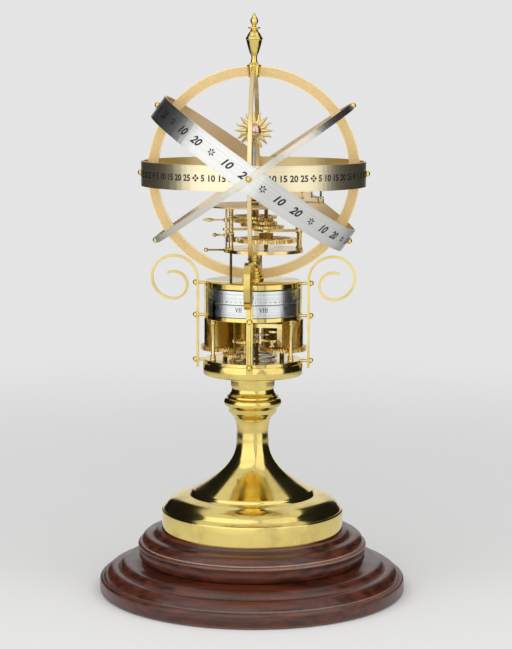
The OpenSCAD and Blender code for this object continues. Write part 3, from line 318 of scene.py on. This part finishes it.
def frosted_brass():
    """Meridian rings: stippled and gilded faces between polished edges"""
    made, tree = begin("frosted_gilt_brass")
    ring_wide = 8 * MM
    polished_rim = 0.4 * MM
    blurred = 0.3 * MM
    at = place(tree, centre=SPHERE)
    # The real stipple is finer than this, and wouldn't show
    dots = add(tree, "TexVoronoi", {"feature": "SMOOTH_F1"},
               {"Vector": at, "Scale": 1 / (0.67 * MM)})
    clouds = add(tree, "TexNoise", None, {"Vector": at, "Scale": 1 / (0.77 * MM), "Detail": 3,
                                          "Roughness": 0.6})
    far = add(tree, "VectorMath", {"operation": "LENGTH"}, {0: at})
    inner = POLE_R - ring_wide + polished_rim
    outer = POLE_R - polished_rim
    off_inner = add(tree, "MapRange", SMOOTH_STEP,
                    {"Value": far, "From Min": inner, "From Max": inner + blurred})
    off_outer = add(tree, "MapRange", SMOOTH_STEP,
                    {"Value": far, "From Min": outer, "From Max": outer - blurred})
    face = add(tree, "Math", {"operation": "MULTIPLY"}, {0: off_inner, 1: off_outer})
    shade = two_shades(tree, clouds, 0.35, 0.7, linear("#e8cf9b"), linear("#d9b87e"))
    shade = add(tree, "Mix", COLOUR_MIX, {SHARE: face, FIRST: linear("#f0dca6"), SECOND: shade})
    height = add(tree, "Math", {"operation": "MULTIPLY"}, {0: dots, 1: face})
    rough = add(tree, "MapRange", None, {"Value": face, "To Min": 0.3, "To Max": 0.46})
    finish_metal(tree, shade, rough, height, 0.03 * MM)
    return made


def outward(tree, centre):
    """1 where a surface faces away from a centre and 0 where it faces it"""
    where = add(tree, "TexCoord").outputs
    away = add(tree, "VectorMath", {"operation": "SUBTRACT"}, {0: where["Object"], 1: centre})
    away = add(tree, "VectorMath", {"operation": "NORMALIZE"}, {0: away})
    facing = add(tree, "VectorMath", {"operation": "DOT_PRODUCT"}, {0: away, 1: where["Normal"]})
    return add(tree, "MapRange", SMOOTH_STEP, {"Value": facing, "From Min": 0.5, "From Max": 0.6})


def band_axis(tilt):
    """Axis of a slanting band, tilted about the line through the two side screws"""
    turn = Matrix.Rotation(SPHERE_TURN, 3, "Z") @ Matrix.Rotation(tilt, 3, "Y")
    return turn @ Vector((0, 0, 1))


def two_sided_band(name, axis, outside, outside_dark, inside, rough_out):
    """Bent band, brushed round its axis: one finish outside, polished gilt inside and on edges"""
    made, tree = begin(name)
    round_it = round_the_axis(tree, SPHERE, axis)
    lines = add(tree, "TexNoise", None,
                {"Vector": round_it, "Scale": 1 / (0.33 * MM), "Detail": 2})
    broad = add(tree, "TexNoise", None,
                {"Vector": round_it, "Scale": 1 / (0.9 * MM), "Detail": 3})
    out = outward(tree, SPHERE)
    shade = two_shades(tree, broad, 0.3, 0.7, outside, outside_dark)
    shade = add(tree, "Mix", COLOUR_MIX, {SHARE: out, FIRST: inside, SECOND: shade})
    rough = add(tree, "MapRange", None, {"Value": out, "To Min": 0.34, "To Max": rough_out})
    finish_metal(tree, shade, rough, lines, 0.003 * MM)
    return made


def calendar_brass():
    """Level band: pale, silver-washed brass outside, brushed round the band, gilt inside"""
    return two_sided_band("silver_washed_brass", (0, 0, 1), linear("#fbf0d0"), linear("#f1e2ba"),
                          linear("#ecd8a2"), 0.34)


def silvered_band():
    """Broad slanting band: brushed silvering outside, rosy gilding inside"""
    return two_sided_band("silvered_gilt_brass", band_axis(ECLIPTIC_TILT), colours().silver,
                          linear("#d2d2ce"), linear("#f0dcba"), 0.3)


def narrow_silvered_band():
    """Narrow slanting band: the same silvering, brushed round its own axis"""
    return two_sided_band("silvered_narrow_brass", band_axis(LUNAR_TILT), linear("#e4e0d4"),
                          linear("#d2cdbf"), linear("#f0dcba"), 0.3)


def silvered_dial():
    """Chapter rings: silvered brass brushed round the ring, near white with a cool gloss"""
    made, tree = begin("silvered_dial")
    round_it = round_the_axis(tree)
    lines = add(tree, "TexNoise", None,
                {"Vector": round_it, "Scale": 1 / (0.25 * MM), "Detail": 2})
    broad = add(tree, "TexNoise", None,
                {"Vector": round_it, "Scale": 1 / (1.4 * MM), "Detail": 3})
    shade = two_shades(tree, broad, 0.3, 0.7, colours().silver, linear("#cdd2d4"))
    finish_metal(tree, shade, 0.24, lines, 0.002 * MM)
    return made


def polished_steel():
    """Hardened steel arbors and post, polished along their length"""
    made, tree = begin("polished_steel")
    # The scratches are ten times as long as they're wide
    lines = add(tree, "TexNoise", None,
                {"Vector": place(tree, (1, 1, 10)), "Scale": 1 / (0.33 * MM), "Detail": 2})
    shade = add(tree, "Mix", COLOUR_MIX,
                {SHARE: lines, FIRST: linear("#c9c8c6"), SECOND: linear("#a9a8a8")})
    finish_metal(tree, shade, 0.18, lines, 0.002 * MM, 0.5)
    return made


def blued_steel():
    """Steel blued by heat: deep blue with a purple cast"""
    made, tree = begin("heat_blued_steel")
    heat = add(tree, "TexNoise", None,
               {"Vector": place(tree), "Scale": 1 / (6 * MM), "Detail": 2})
    shade = add(tree, "Mix", COLOUR_MIX,
                {SHARE: heat, FIRST: linear("#12161f"), SECOND: linear("#1c1c28")})
    finish_metal(tree, shade, 0.2, heat, 0.001 * MM, 0.5)
    return made


def rose_gold():
    """Ball of the sun: copper-rich gilding, polished bright"""
    made, tree = begin("rose_gilding")
    mottle = add(tree, "TexNoise", None,
                 {"Vector": place(tree), "Scale": 1 / (0.65 * MM), "Detail": 3})
    shade = add(tree, "Mix", COLOUR_MIX,
                {SHARE: mottle, FIRST: linear("#ecd3c2"), SECOND: linear("#dcb9a4")})
    finish_metal(tree, shade, 0.16, mottle, 0.004 * MM, 0.5)
    return made


def pale_gilt():
    """Planet table: thin brass sheet with a matt pale gilding"""
    made, tree = begin("matt_pale_gilding")
    lines = add(tree, "TexNoise", None,
                {"Vector": round_the_axis(tree), "Scale": 1 / (0.45 * MM), "Detail": 3})
    shade = add(tree, "Mix", COLOUR_MIX,
                {SHARE: lines, FIRST: linear("#e6cfa6"), SECOND: linear("#c6a87a")})
    finish_metal(tree, shade, 0.34, lines, 0.004 * MM)
    return made


def globe_enamel():
    """Earth: hard enamel, blue seas and green and ochre land under a clear gloss"""
    made, tree = begin("hard_enamel")
    centre = (low("earth_globe") + high("earth_globe")) / 2
    radius = (high("earth_globe").x - low("earth_globe").x) / 2
    at = place(tree, centre=(centre.x, centre.y, high("earth_globe").z - radius))
    coasts = add(tree, "TexNoise", None, {"Vector": at, "Scale": 1 / (3.8 * MM), "Detail": 4,
                                          "Roughness": 0.55})
    fields = add(tree, "TexNoise", None, {"Vector": at, "Scale": 1 / (1.4 * MM), "Detail": 3})
    depths = add(tree, "TexNoise", None, {"Vector": at, "Scale": 1 / (5 * MM), "Detail": 3})
    soil = add(tree, "Mix", COLOUR_MIX,
               {SHARE: fields, FIRST: linear("#3c6b35"), SECOND: linear("#a98b4c")})
    sea = add(tree, "Mix", COLOUR_MIX,
              {SHARE: depths, FIRST: linear("#14407c"), SECOND: linear("#1f5ea0")})
    shader = add(tree, "BsdfPrincipled", None,
                 {"Base Color": two_shades(tree, coasts, 0.51, 0.53, sea, soil),
                  "Roughness": 0.3, "Coat Weight": 0.8, "Coat Roughness": 0.05})
    add(tree, "OutputMaterial", None, {"Surface": shader})
    return made


def black_wax():
    """Hard black wax melted into engraved lines: dull, with a slight grain"""
    made, tree = begin("black_engraving_wax")
    mottle = add(tree, "TexNoise", None,
                 {"Vector": place(tree), "Scale": 1 / (0.4 * MM), "Detail": 3})
    shade = add(tree, "Mix", COLOUR_MIX,
                {SHARE: mottle, FIRST: colours().engraving, SECOND: linear("#191512")})
    relief = add(tree, "Bump", None, {"Strength": 0.4, "Distance": 0.01 * MM, "Height": mottle})
    shader = add(tree, "BsdfPrincipled", None,
                 {"Base Color": shade, "Roughness": 0.5, "Normal": relief})
    add(tree, "OutputMaterial", None, {"Surface": shader})
    return made


MAKERS = {
    "mahogany": mahogany, "felt": felt, "lathe_brass": lathe_brass, "gilt_brass": gilt_brass,
    "strip_brass": strip_brass, "frosted_brass": frosted_brass, "calendar_brass": calendar_brass,
    "silvered_band": silvered_band, "narrow_silvered_band": narrow_silvered_band,
    "silvered_dial": silvered_dial, "polished_steel": polished_steel,
    "blued_steel": blued_steel, "rose_gold": rose_gold, "pale_gilt": pale_gilt,
    "globe_enamel": globe_enamel, "black_wax": black_wax,
}
made_materials = {}


def material(name):
    if name not in made_materials:
        made_materials[name] = MAKERS[name]()
    return made_materials[name]


# Pieces


def body_of_node(node):
    return NODES[node]["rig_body"]


def place_piece(name, bm, finish, body, sharp=35.0):
    """Turns a bmesh into a piece that rides on a body, smooth but for edges over the angle"""
    mesh = bpy.data.meshes.new(name)
    bm.to_mesh(mesh)
    bm.free()
    mesh.shade_smooth()
    mesh.set_sharp_from_angle(angle=math.radians(sharp))
    mesh.materials.append(material(finish))
    piece = bpy.data.objects.new(name, mesh)
    bpy.context.scene.collection.objects.link(piece)
    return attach(piece, body)


def finished(node, finish, sharp=35.0):
    """A merged copy of a node's mesh, shaded smooth, that stands for the node"""
    bm = bmesh.new()
    bm.from_mesh(NODES[node].data)
    bmesh.ops.remove_doubles(bm, verts=bm.verts, dist=0.001 * MM)
    piece = place_piece(node + "_finished", bm, finish, body_of_node(node), sharp)
    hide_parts(node)
    return piece


def dress(node, finish):
    """Gives a node that stays as it is its material"""
    NODES[node].data.materials.clear()
    NODES[node].data.materials.append(material(finish))


# Figures and ornaments are drawn flat, x to the right and y up, and then wrapped on a band


# Roman numerals, as shares of their height: room for each letter, gap beside its strokes,
# strokes and serifs
ROOM = {"I": 0.44, "V": 0.82, "X": 0.84}
GAP = 0.12
THICK, THIN = 0.19, 0.1
SERIF_TALL, SERIF_WIDE = 0.08, 0.28

# Petals, as shares of the ornament's height: distance from its middle, and length
PETAL_AT, PETAL_LONG = 0.29, 0.42


def bar(bm, x0, y0, x1, y1, width):
    """Straight stroke from one point to another, one unit thick"""
    slope = Matrix(((width, x1 - x0, 0, (x0 + x1) / 2), (0, y1 - y0, 0, (y0 + y1) / 2),
                    (0, 0, 1, 0), (0, 0, 0, 1)))
    bmesh.ops.create_cube(bm, size=1, matrix=slope)


def roman(words, height):
    """Roman numerals with thick and thin strokes and short serifs"""
    bm = bmesh.new()
    thick, thin = THICK * height, THIN * height
    x = 0.0
    for letter in words:
        step = ROOM[letter] * height
        middle = x + step / 2
        side = step / 2 - GAP * height
        if letter == "I":
            bar(bm, middle, 0, middle, height, thick)
            feet = [(middle, 0), (middle, height)]
        elif letter == "V":
            bar(bm, middle - side, height, middle, 0, thick)
            bar(bm, middle + side, height, middle, 0, thin)
            feet = [(middle - side, height), (middle + side, height)]
        else:
            bar(bm, middle - side, height, middle + side, 0, thick)
            bar(bm, middle + side, height, middle - side, 0, thin)
            feet = [(middle + a, b) for a in (-side, side) for b in (height, 0)]
        for spot in feet:
            flat = Matrix.Diagonal((SERIF_WIDE * height, SERIF_TALL * height, 1, 1))
            bmesh.ops.create_cube(bm, size=1, matrix=Matrix.Translation((*spot, 0)) @ flat)
        x += step
    bmesh.ops.translate(bm, verts=bm.verts, vec=(-x / 2, -height / 2, 0))
    return bm


def typed(words, height, slant=0.0, weight=0.0):
    """Plain figures as a solid one unit thick, middle at the origin, cut so that they can bend"""
    curve = bpy.data.curves.new("figures", "FONT")
    curve.body = words
    curve.extrude = 0.5
    curve.offset = weight
    curve.shear = slant
    curve.resolution_u = 3
    curve.align_x = "CENTER"
    curve.align_y = "CENTER"
    thing = bpy.data.objects.new("figures", curve)
    bpy.context.scene.collection.objects.link(thing)
    bpy.context.view_layer.update()
    flat = thing.evaluated_get(bpy.context.evaluated_depsgraph_get()).to_mesh()
    bm = bmesh.new()
    bm.from_mesh(flat)
    bpy.data.objects.remove(thing)
    bmesh.ops.remove_doubles(bm, verts=bm.verts, dist=1e-5)
    tall = max(v.co.y for v in bm.verts) - min(v.co.y for v in bm.verts)
    middle = (max(v.co.y for v in bm.verts) + min(v.co.y for v in bm.verts)) / 2
    bmesh.ops.translate(bm, verts=bm.verts, vec=(0, -middle, 0))
    bmesh.ops.scale(bm, verts=bm.verts, vec=(height / tall, height / tall, 1))
    width = max(v.co.x for v in bm.verts)
    step = 1.0 * MM
    for i in range(-int(width / step), int(width / step) + 1):
        bmesh.ops.bisect_plane(bm, geom=bm.verts[:] + bm.edges[:] + bm.faces[:],
                               plane_co=(i * step, 0, 0), plane_no=(1, 0, 0))
    return bm


def petals(height, count, width):
    """Ornament of pointed petals round a middle"""
    bm = bmesh.new()
    for i in range(count):
        turn = Matrix.Rotation(2 * math.pi * i / count, 4, "Z")
        petal = turn @ Matrix.Translation((0, PETAL_AT * height, 0))
        petal = petal @ Matrix.Diagonal((width, PETAL_LONG * height, 1, 1))
        petal = petal @ Matrix.Rotation(math.pi / 4, 4, "Z")
        side = math.sqrt(0.5)
        bmesh.ops.create_cube(bm, size=1, matrix=petal @ Matrix.Diagonal((side, side, 1, 1)))
    return bm


def wrap(bm, radius, angle, lift, turn=Matrix.Identity(4)):
    """Bends a flat figure round a cylinder, at an angle and a height, and turns the whole"""
    depth = sizes().relief
    raised = 0.2  # How far the middle of the wax stands over the surface, in thicknesses
    for v in bm.verts:
        a = angle + v.co.x / radius
        r = radius + (v.co.z + raised) * depth
        v.co = turn @ Vector((r * math.cos(a), r * math.sin(a), lift + v.co.y))
    return bm


def gather(parts):
    """Joins several bmeshes into one"""
    whole = bmesh.new()
    for part in parts:
        scrap = bpy.data.meshes.new("scrap")
        part.to_mesh(scrap)
        part.free()
        whole.from_mesh(scrap)
        bpy.data.meshes.remove(scrap)
    bmesh.ops.recalc_face_normals(whole, faces=whole.faces)
    return whole


# Operators, one for each piece or group of like pieces


class ORRERY_OT_wooden_base(bpy.types.Operator):
    """Turned base in two tiers on its felt"""
    bl_idname = "orrery.wooden_base"
    bl_label = "Wooden base"

    def execute(self, context):
        finished("wood_plinth", "mahogany", 40)
        finished("wood_step", "mahogany", 40)
        finished("felt_pad", "felt")
        return {"FINISHED"}


class ORRERY_OT_brass_foot(bpy.types.Operator):
    """Trumpet foot and knop, with the tie rod inside"""
    bl_idname = "orrery.brass_foot"
    bl_label = "Brass foot"

    def execute(self, context):
        finished("brass_foot", "lathe_brass", 40)
        finished("foot_knop", "lathe_brass", 40)
        for node in ("clamp_rod", "clamp_nuts"):
            dress(node, "polished_steel")
        return {"FINISHED"}


class ORRERY_OT_drum(bpy.types.Operator):
    """Disc, plates and pillars of the drum"""
    bl_idname = "orrery.drum"
    bl_label = "Drum"

    def execute(self, context):
        for node in ("drum_base", "lower_plate", "middle_plate", "top_plate"):
            finished(node, "lathe_brass")
        finished("drum_pillars", "gilt_brass")
        finished("ring_guards", "strip_brass")
        finished("time_pointer", "blued_steel")
        return {"FINISHED"}


class ORRERY_OT_brackets(bpy.types.Operator):
    """Scroll brackets with their spacers and ball-headed screws"""
    bl_idname = "orrery.brackets"
    bl_label = "Brackets"

    def execute(self, context):
        finished("scroll_brackets", "strip_brass")
        finished("bracket_spacers", "gilt_brass")
        finished("ball_screws", "lathe_brass")
        return {"FINISHED"}


class ORRERY_OT_movement(bpy.types.Operator):
    """Barrels, wheels and arbors between the plates"""
    bl_idname = "orrery.movement"
    bl_label = "Movement"

    def execute(self, context):
        for node in ("barrel_left", "barrel_right", "third_wheel", "fourth_wheel", "escape_wheel",
                     "balance_wheel", "minute_wheel", "escapement_platform", "reduction_box"):
            finished(node, "gilt_brass")
        for node in ("centre_arbor", "winding_arbor_left", "winding_arbor_right", "mainspring_left",
                     "mainspring_right", "pallet_lever"):
            finished(node, "polished_steel")
        finished("hairspring", "blued_steel")
        return {"FINISHED"}


class ORRERY_OT_chapter_rings(bpy.types.Operator):
    """Hour and minute ring with their numerals and minute marks"""
    bl_idname = "orrery.chapter_rings"
    bl_label = "Chapter rings"

    eight_at = math.radians(-71.5)
    twenty_at = math.radians(-87)
    hours = ("I", "II", "III", "IV", "V", "VI", "VII", "VIII", "IX", "X", "XI", "XII")
    hour_lift = 1.3 * MM
    minute_lift = 1.15  # In halves of the minute ring's height
    dot_lift = 1.9 * MM
    dot, fifth_dot = 0.6 * MM, 0.9 * MM

    def execute(self, context):
        for node in ("hour_ring", "minute_ring"):
            finished(node, "silvered_dial")
        middle = (low("hour_ring").z + high("hour_ring").z) / 2
        ring_half = (high("minute_ring").z - low("minute_ring").z) / 2
        step = 2 * math.pi / 12
        marks = [wrap(roman(words, sizes().hour_height), RING_OUT, self.eight_at + (i - 7) * step,
                      middle + self.hour_lift)
                 for i, words in enumerate(self.hours)]
        piece = place_piece("hour_numerals", gather(marks), "black_wax",
                            body_of_node("hour_ring"))
        base = low("minute_ring").z
        marks = []
        for i in range(6):
            number = typed(str(10 * (i + 1)), sizes().minute_height, 0, 0.02)
            marks.append(wrap(number, RING_OUT, self.twenty_at + (i - 1) * 2 * step,
                              base + self.minute_lift * ring_half))
        for i in range(60):
            mark = bmesh.new()
            wide = self.fifth_dot if i % 5 == 0 else self.dot
            bar(mark, 0, -wide / 2, 0, wide / 2, wide)
            marks.append(wrap(mark, RING_OUT, self.twenty_at + i * step / 5, base + self.dot_lift))
        piece = place_piece("minute_numerals", gather(marks), "black_wax",
                            body_of_node("minute_ring"))
        return {"FINISHED"}


class ORRERY_OT_sphere(bpy.types.Operator):
    """Column, meridian rings, boss and finial"""
    bl_idname = "orrery.sphere"
    bl_label = "Sphere"

    def execute(self, context):
        for node in ("meridian_ring", "colure_ring"):
            finished(node, "frosted_brass")
        for node in ("column", "pole_boss", "finial"):
            finished(node, "lathe_brass")
        return {"FINISHED"}


class ORRERY_OT_bands(bpy.types.Operator):
    """Level band and slanting bands, with their numerals, ornaments and spacers"""
    bl_idname = "orrery.bands"
    bl_label = "Bands"

    first_cross = math.radians(-83.5)
    first_star = math.radians(-82)
    cross_tall, cross_wide = 5.6 * MM, 2.2 * MM
    star_tall, star_wide = 6.4 * MM, 1.4 * MM
    weight, slant = 0.03, 0.35

    def execute(self, context):
        finished("equator_band", "calendar_brass")
        finished("ecliptic_band", "silvered_band")
        finished("lunar_band", "narrow_silvered_band")
        finished("band_spacers", "gilt_brass")
        month = math.radians(30)
        around = high("equator_band").x
        marks = []
        for i in range(12):
            cross = petals(self.cross_tall, 4, self.cross_wide)
            days = typed("5 10 15 20 25", sizes().day_height, 0, self.weight)
            marks.append(wrap(cross, around, self.first_cross + i * month, SPHERE.z))
            marks.append(wrap(days, around, self.first_cross + (i + 0.5) * month, SPHERE.z))
        piece = place_piece("day_numerals", gather(marks), "black_wax",
                            body_of_node("equator_band"))
        turn = Matrix.Translation(SPHERE) @ Matrix.Rotation(SPHERE_TURN, 4, "Z")
        turn = turn @ Matrix.Rotation(ECLIPTIC_TILT, 4, "Y")
        around = wall("ecliptic_band")
        marks = []
        for i in range(12):
            start = self.first_star + i * month
            star = petals(self.star_tall, 6, self.star_wide)
            marks.append(wrap(star, around, start, 0, turn))
            for k, words in enumerate(("10", "20")):
                figure = typed(words, sizes().degree_height, self.slant, self.weight)
                marks.append(wrap(figure, around, start + month * (0.3 + 0.35 * k), 0, turn))
        piece = place_piece("degree_numerals", gather(marks), "black_wax",
                            body_of_node("ecliptic_band"))
        return {"FINISHED"}


class ORRERY_OT_planetarium(bpy.types.Operator):
    """Plates, pillars, wheels and arms of the planetarium, with earth and moon"""
    bl_idname = "orrery.planetarium"
    bl_label = "Planetarium"

    def execute(self, context):
        for node in ("orrery_plate", "cage_pillars", "orrery_bridge", "side_rods", "setting_lever",
                     "planet_cluster", "earth_arm", "venus_arm", "mercury_arm"):
            finished(node, "gilt_brass")
        for node in ("drive_arbor", "moon_arm"):
            finished(node, "polished_steel")
        finished("planet_table", "pale_gilt")
        finished("earth_globe", "globe_enamel")
        return {"FINISHED"}


class ORRERY_OT_sun(bpy.types.Operator):
    """Sun on its post, with curved tapering flames round the ball"""
    bl_idname = "orrery.sun"
    bl_label = "Sun"

    count = 16
    steps = 6
    sunk, short = 0.7 * MM, 0.2 * MM  # Root inside the ball, and tip short of the solid's
    bend = 0.8 * MM
    flatness = 0.6
    taper = 0.65
    blunt = 1.01  # A flame would end in a point at 1

    def execute(self, context):
        finished("sun_post", "polished_steel")
        finished("sun_ball", "rose_gold")
        middle = (low("sun_ball") + high("sun_ball")) / 2
        radius = (high("sun_ball").x - low("sun_ball").x) / 2
        flames = []
        length = high("sun_rays").z - middle.z - radius + self.sunk - self.short
        for i in range(self.count):
            bend = 0.0 if i % 2 == 0 else self.bend
            bm = bmesh.new()
            bmesh.ops.create_circle(bm, cap_ends=True, segments=10, radius=sizes().flame_root,
                                    matrix=Matrix.Translation((0, 0, radius - self.sunk)))
            face = bm.faces[:][0]
            for k in range(self.steps):
                part = (k + 1) / self.steps
                face = bmesh.ops.extrude_discrete_faces(bm, faces=[face])["faces"][0]
                before = part - 1 / self.steps
                shift = bend * (math.sin(2 * math.pi * part) - math.sin(2 * math.pi * before))
                bmesh.ops.translate(bm, verts=face.verts,
                                    vec=(shift, 0, length / self.steps))
                narrow = ((self.blunt - part) / (self.blunt - before)) ** self.taper
                centre = face.calc_center_median()
                bmesh.ops.scale(bm, verts=face.verts, vec=(narrow, narrow, 1),
                                space=Matrix.Translation(-centre))
            bmesh.ops.scale(bm, verts=bm.verts, vec=(1, self.flatness, 1))
            turn = Matrix.Translation(middle) @ Matrix.Rotation(SPHERE_TURN, 4, "Z")
            turn = turn @ Matrix.Rotation(2 * math.pi * i / self.count, 4, "Y")
            bmesh.ops.transform(bm, matrix=turn, verts=bm.verts)
            flames.append(bm)
        piece = place_piece("sun_flames", gather(flames), "gilt_brass",
                            body_of_node("sun_rays"), 60)
        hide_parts("sun_rays")
        return {"FINISHED"}


class ORRERY_OT_stage(bpy.types.Operator):
    """Pale floor, soft lamps and the camera of the photograph"""
    bl_idname = "orrery.stage"
    bl_label = "Stage"

    # Fitted to the photograph: pixels for the focal length, degrees and metres for the rest
    focal_pixels = 1895
    image_height = 649
    pitch, roll = math.radians(7.42), math.radians(0.25)
    azimuth, heading = math.radians(6), math.radians(5.91)
    distance, height = 1.44, 0.394
    background, fill = 0.78, 0.45
    floor_radius, floor_drop = 2.6, 0.05 * MM
    fade_start, fade_end = 0.2, 1.3
    lamp_far, lamp_height, aim = 1.5, 0.95, 0.3
    backing_far, backing_height = 1.56, 0.97
    card_far, left_card_height, right_card_height = 0.9, 0.47, 0.52

    def execute(self, context):
        self.make_floor()
        self.make_world(context.scene)
        self.make_lamps()
        self.make_cards()
        self.make_camera(context.scene)
        context.scene.view_settings.view_transform = "Standard"
        return {"FINISHED"}

    def make_floor(self):
        bm = bmesh.new()
        bmesh.ops.create_circle(bm, cap_ends=True, segments=64, radius=self.floor_radius)
        bmesh.ops.translate(bm, verts=bm.verts, vec=(0, 0, -self.floor_drop))
        mesh = bpy.data.meshes.new("floor")
        bm.to_mesh(mesh)
        bm.free()
        made, tree = begin("plain_floor")
        paper = add(tree, "TexNoise", None,
                    {"Vector": place(tree), "Scale": 1 / (3.3 * MM), "Detail": 3})
        shade = add(tree, "Mix", COLOUR_MIX,
                    {SHARE: paper, FIRST: colours().floor, SECOND: linear("#eeeeee")})
        lit = add(tree, "BsdfDiffuse", None, {"Color": shade})
        far = add(tree, "VectorMath", {"operation": "LENGTH"}, {0: place(tree)})
        gone = add(tree, "MapRange", SMOOTH_STEP,
                   {"Value": far, "From Min": self.fade_start, "From Max": self.fade_end})
        clear = add(tree, "BsdfTransparent")
        mixed = add(tree, "MixShader", None, {0: gone, 1: lit, 2: clear})
        add(tree, "OutputMaterial", None, {"Surface": mixed})
        mesh.materials.append(made)
        floor = bpy.data.objects.new("floor", mesh)
        bpy.context.scene.collection.objects.link(floor)

    def make_world(self, scene):
        world = bpy.data.worlds.new("studio")
        scene.world = world
        world.use_nodes = True
        tree = world.node_tree
        tree.nodes.clear()
        path = add(tree, "LightPath").outputs
        seen = path["Is Camera Ray"]
        for ray in ("Is Glossy Ray", "Is Transmission Ray"):
            seen = add(tree, "Math", {"operation": "MAXIMUM"}, {0: seen, 1: path[ray]})
        strength = add(tree, "MapRange", None,
                       {"Value": seen, "To Min": self.fill, "To Max": self.background})
        sky = add(tree, "Background", None, {"Color": linear("#ffffff"), "Strength": strength})
        add(tree, "OutputWorld", None, {"Surface": sky})

    def facing(self, bearing, far, height, aim):
        """Place for a flat thing at a bearing from the camera's side, turned to the clock"""
        turn = self.azimuth + math.radians(bearing)
        spot = Vector((far * math.sin(turn), -far * math.cos(turn), height))
        look = (Vector((0, 0, aim)) - spot).to_track_quat("-Z", "Y")
        return Matrix.Translation(spot) @ look.to_matrix().to_4x4()

    def make_lamps(self):
        """Two tall soft panels beside the camera, with a dark gap between them"""
        lamp_spot = self.lamp_far, self.lamp_height, self.aim
        for name, bearing, wide, tall, watts in (("left_panel", -30.5, 3.16, 2.6, 33.5),
                                                 ("right_panel", 51, 1.46, 2.6, 13.6)):
            lamp = bpy.data.lights.new(name, "AREA")
            lamp.shape = "RECTANGLE"
            lamp.size = wide
            lamp.size_y = tall
            lamp.energy = watts
            thing = bpy.data.objects.new(name, lamp)
            thing.matrix_world = self.facing(bearing, *lamp_spot)
            thing.visible_camera = False
            bpy.context.scene.collection.objects.link(thing)

    def make_cards(self):
        """Dark cards behind the panels and at the sides, which only reflections see"""
        made, tree = begin("dark_card")
        fibre = add(tree, "TexNoise", None,
                    {"Vector": place(tree), "Scale": 1 / (25 * MM), "Detail": 3})
        shade = add(tree, "Mix", COLOUR_MIX,
                    {SHARE: fibre, FIRST: linear("#1c1c1e"), SECOND: linear("#242426")})
        shader = add(tree, "BsdfDiffuse", None, {"Color": shade})
        add(tree, "OutputMaterial", None, {"Surface": shader})
        backing = self.backing_far, self.backing_height, self.aim
        left = self.card_far, self.left_card_height, self.left_card_height
        right = self.card_far, self.right_card_height, self.right_card_height
        for name, wide, tall, bearing, spot in (("backing_left", 3.5, 2.8, -30.5, backing),
                                                ("backing_right", 1.7, 2.8, 51, backing),
                                                ("card_left", 1.6, 1.45, -120, left),
                                                ("card_right", 1.6, 1.55, 117, right)):
            where = self.facing(bearing, *spot)
            bm = bmesh.new()
            bmesh.ops.create_grid(bm, x_segments=1, y_segments=1, size=0.5,
                                  matrix=where @ Matrix.Diagonal((wide, tall, 1, 1)))
            mesh = bpy.data.meshes.new(name)
            bm.to_mesh(mesh)
            bm.free()
            mesh.materials.append(made)
            card = bpy.data.objects.new(name, mesh)
            card.visible_camera = False
            card.visible_diffuse = False
            card.visible_shadow = False
            bpy.context.scene.collection.objects.link(card)

    def make_camera(self, scene):
        lens = bpy.data.cameras.new("camera")
        lens.sensor_width = 36
        lens.lens = self.focal_pixels * lens.sensor_width / self.image_height
        camera = bpy.data.objects.new("camera", lens)
        spot = Matrix.Translation((self.distance * math.sin(self.azimuth),
                                   -self.distance * math.cos(self.azimuth), self.height))
        turn = Matrix.Rotation(self.heading, 4, "Z")
        turn = turn @ Matrix.Rotation(math.pi / 2 - self.pitch, 4, "X")
        camera.matrix_world = spot @ turn @ Matrix.Rotation(self.roll, 4, "Z")
        scene.collection.objects.link(camera)
        scene.camera = camera


STEPS = (ORRERY_OT_stage, ORRERY_OT_wooden_base, ORRERY_OT_brass_foot, ORRERY_OT_drum,
         ORRERY_OT_brackets, ORRERY_OT_movement, ORRERY_OT_chapter_rings, ORRERY_OT_sphere,
         ORRERY_OT_bands, ORRERY_OT_planetarium, ORRERY_OT_sun)


class ORRERY_PT_panel(bpy.types.Panel):
    """Lists the steps and their settings"""
    bl_idname = "ORRERY_PT_panel"
    bl_label = "Orrery clock"
    bl_space_type = "VIEW_3D"
    bl_region_type = "UI"
    bl_category = "Orrery"

    def draw(self, context):
        for step in STEPS:
            self.layout.operator(step.bl_idname)
        for group in (sizes(), colours()):
            for name in group.__annotations__:
                self.layout.prop(group, name)


CLASSES = (OrreryColours, OrrerySizes) + STEPS + (ORRERY_PT_panel,)


def register():
    for cls in CLASSES:
        bpy.utils.register_class(cls)
    bpy.types.Scene.orrery_colours = bpy.props.PointerProperty(type=OrreryColours)
    bpy.types.Scene.orrery_sizes = bpy.props.PointerProperty(type=OrrerySizes)


def unregister():
    del bpy.types.Scene.orrery_sizes
    del bpy.types.Scene.orrery_colours
    for cls in reversed(CLASSES):
        bpy.utils.unregister_class(cls)


def main():
    register()
    for step in STEPS:
        group, name = step.bl_idname.split(".")
        getattr(getattr(bpy.ops, group), name)()


if __name__ == "__main__":
    main()
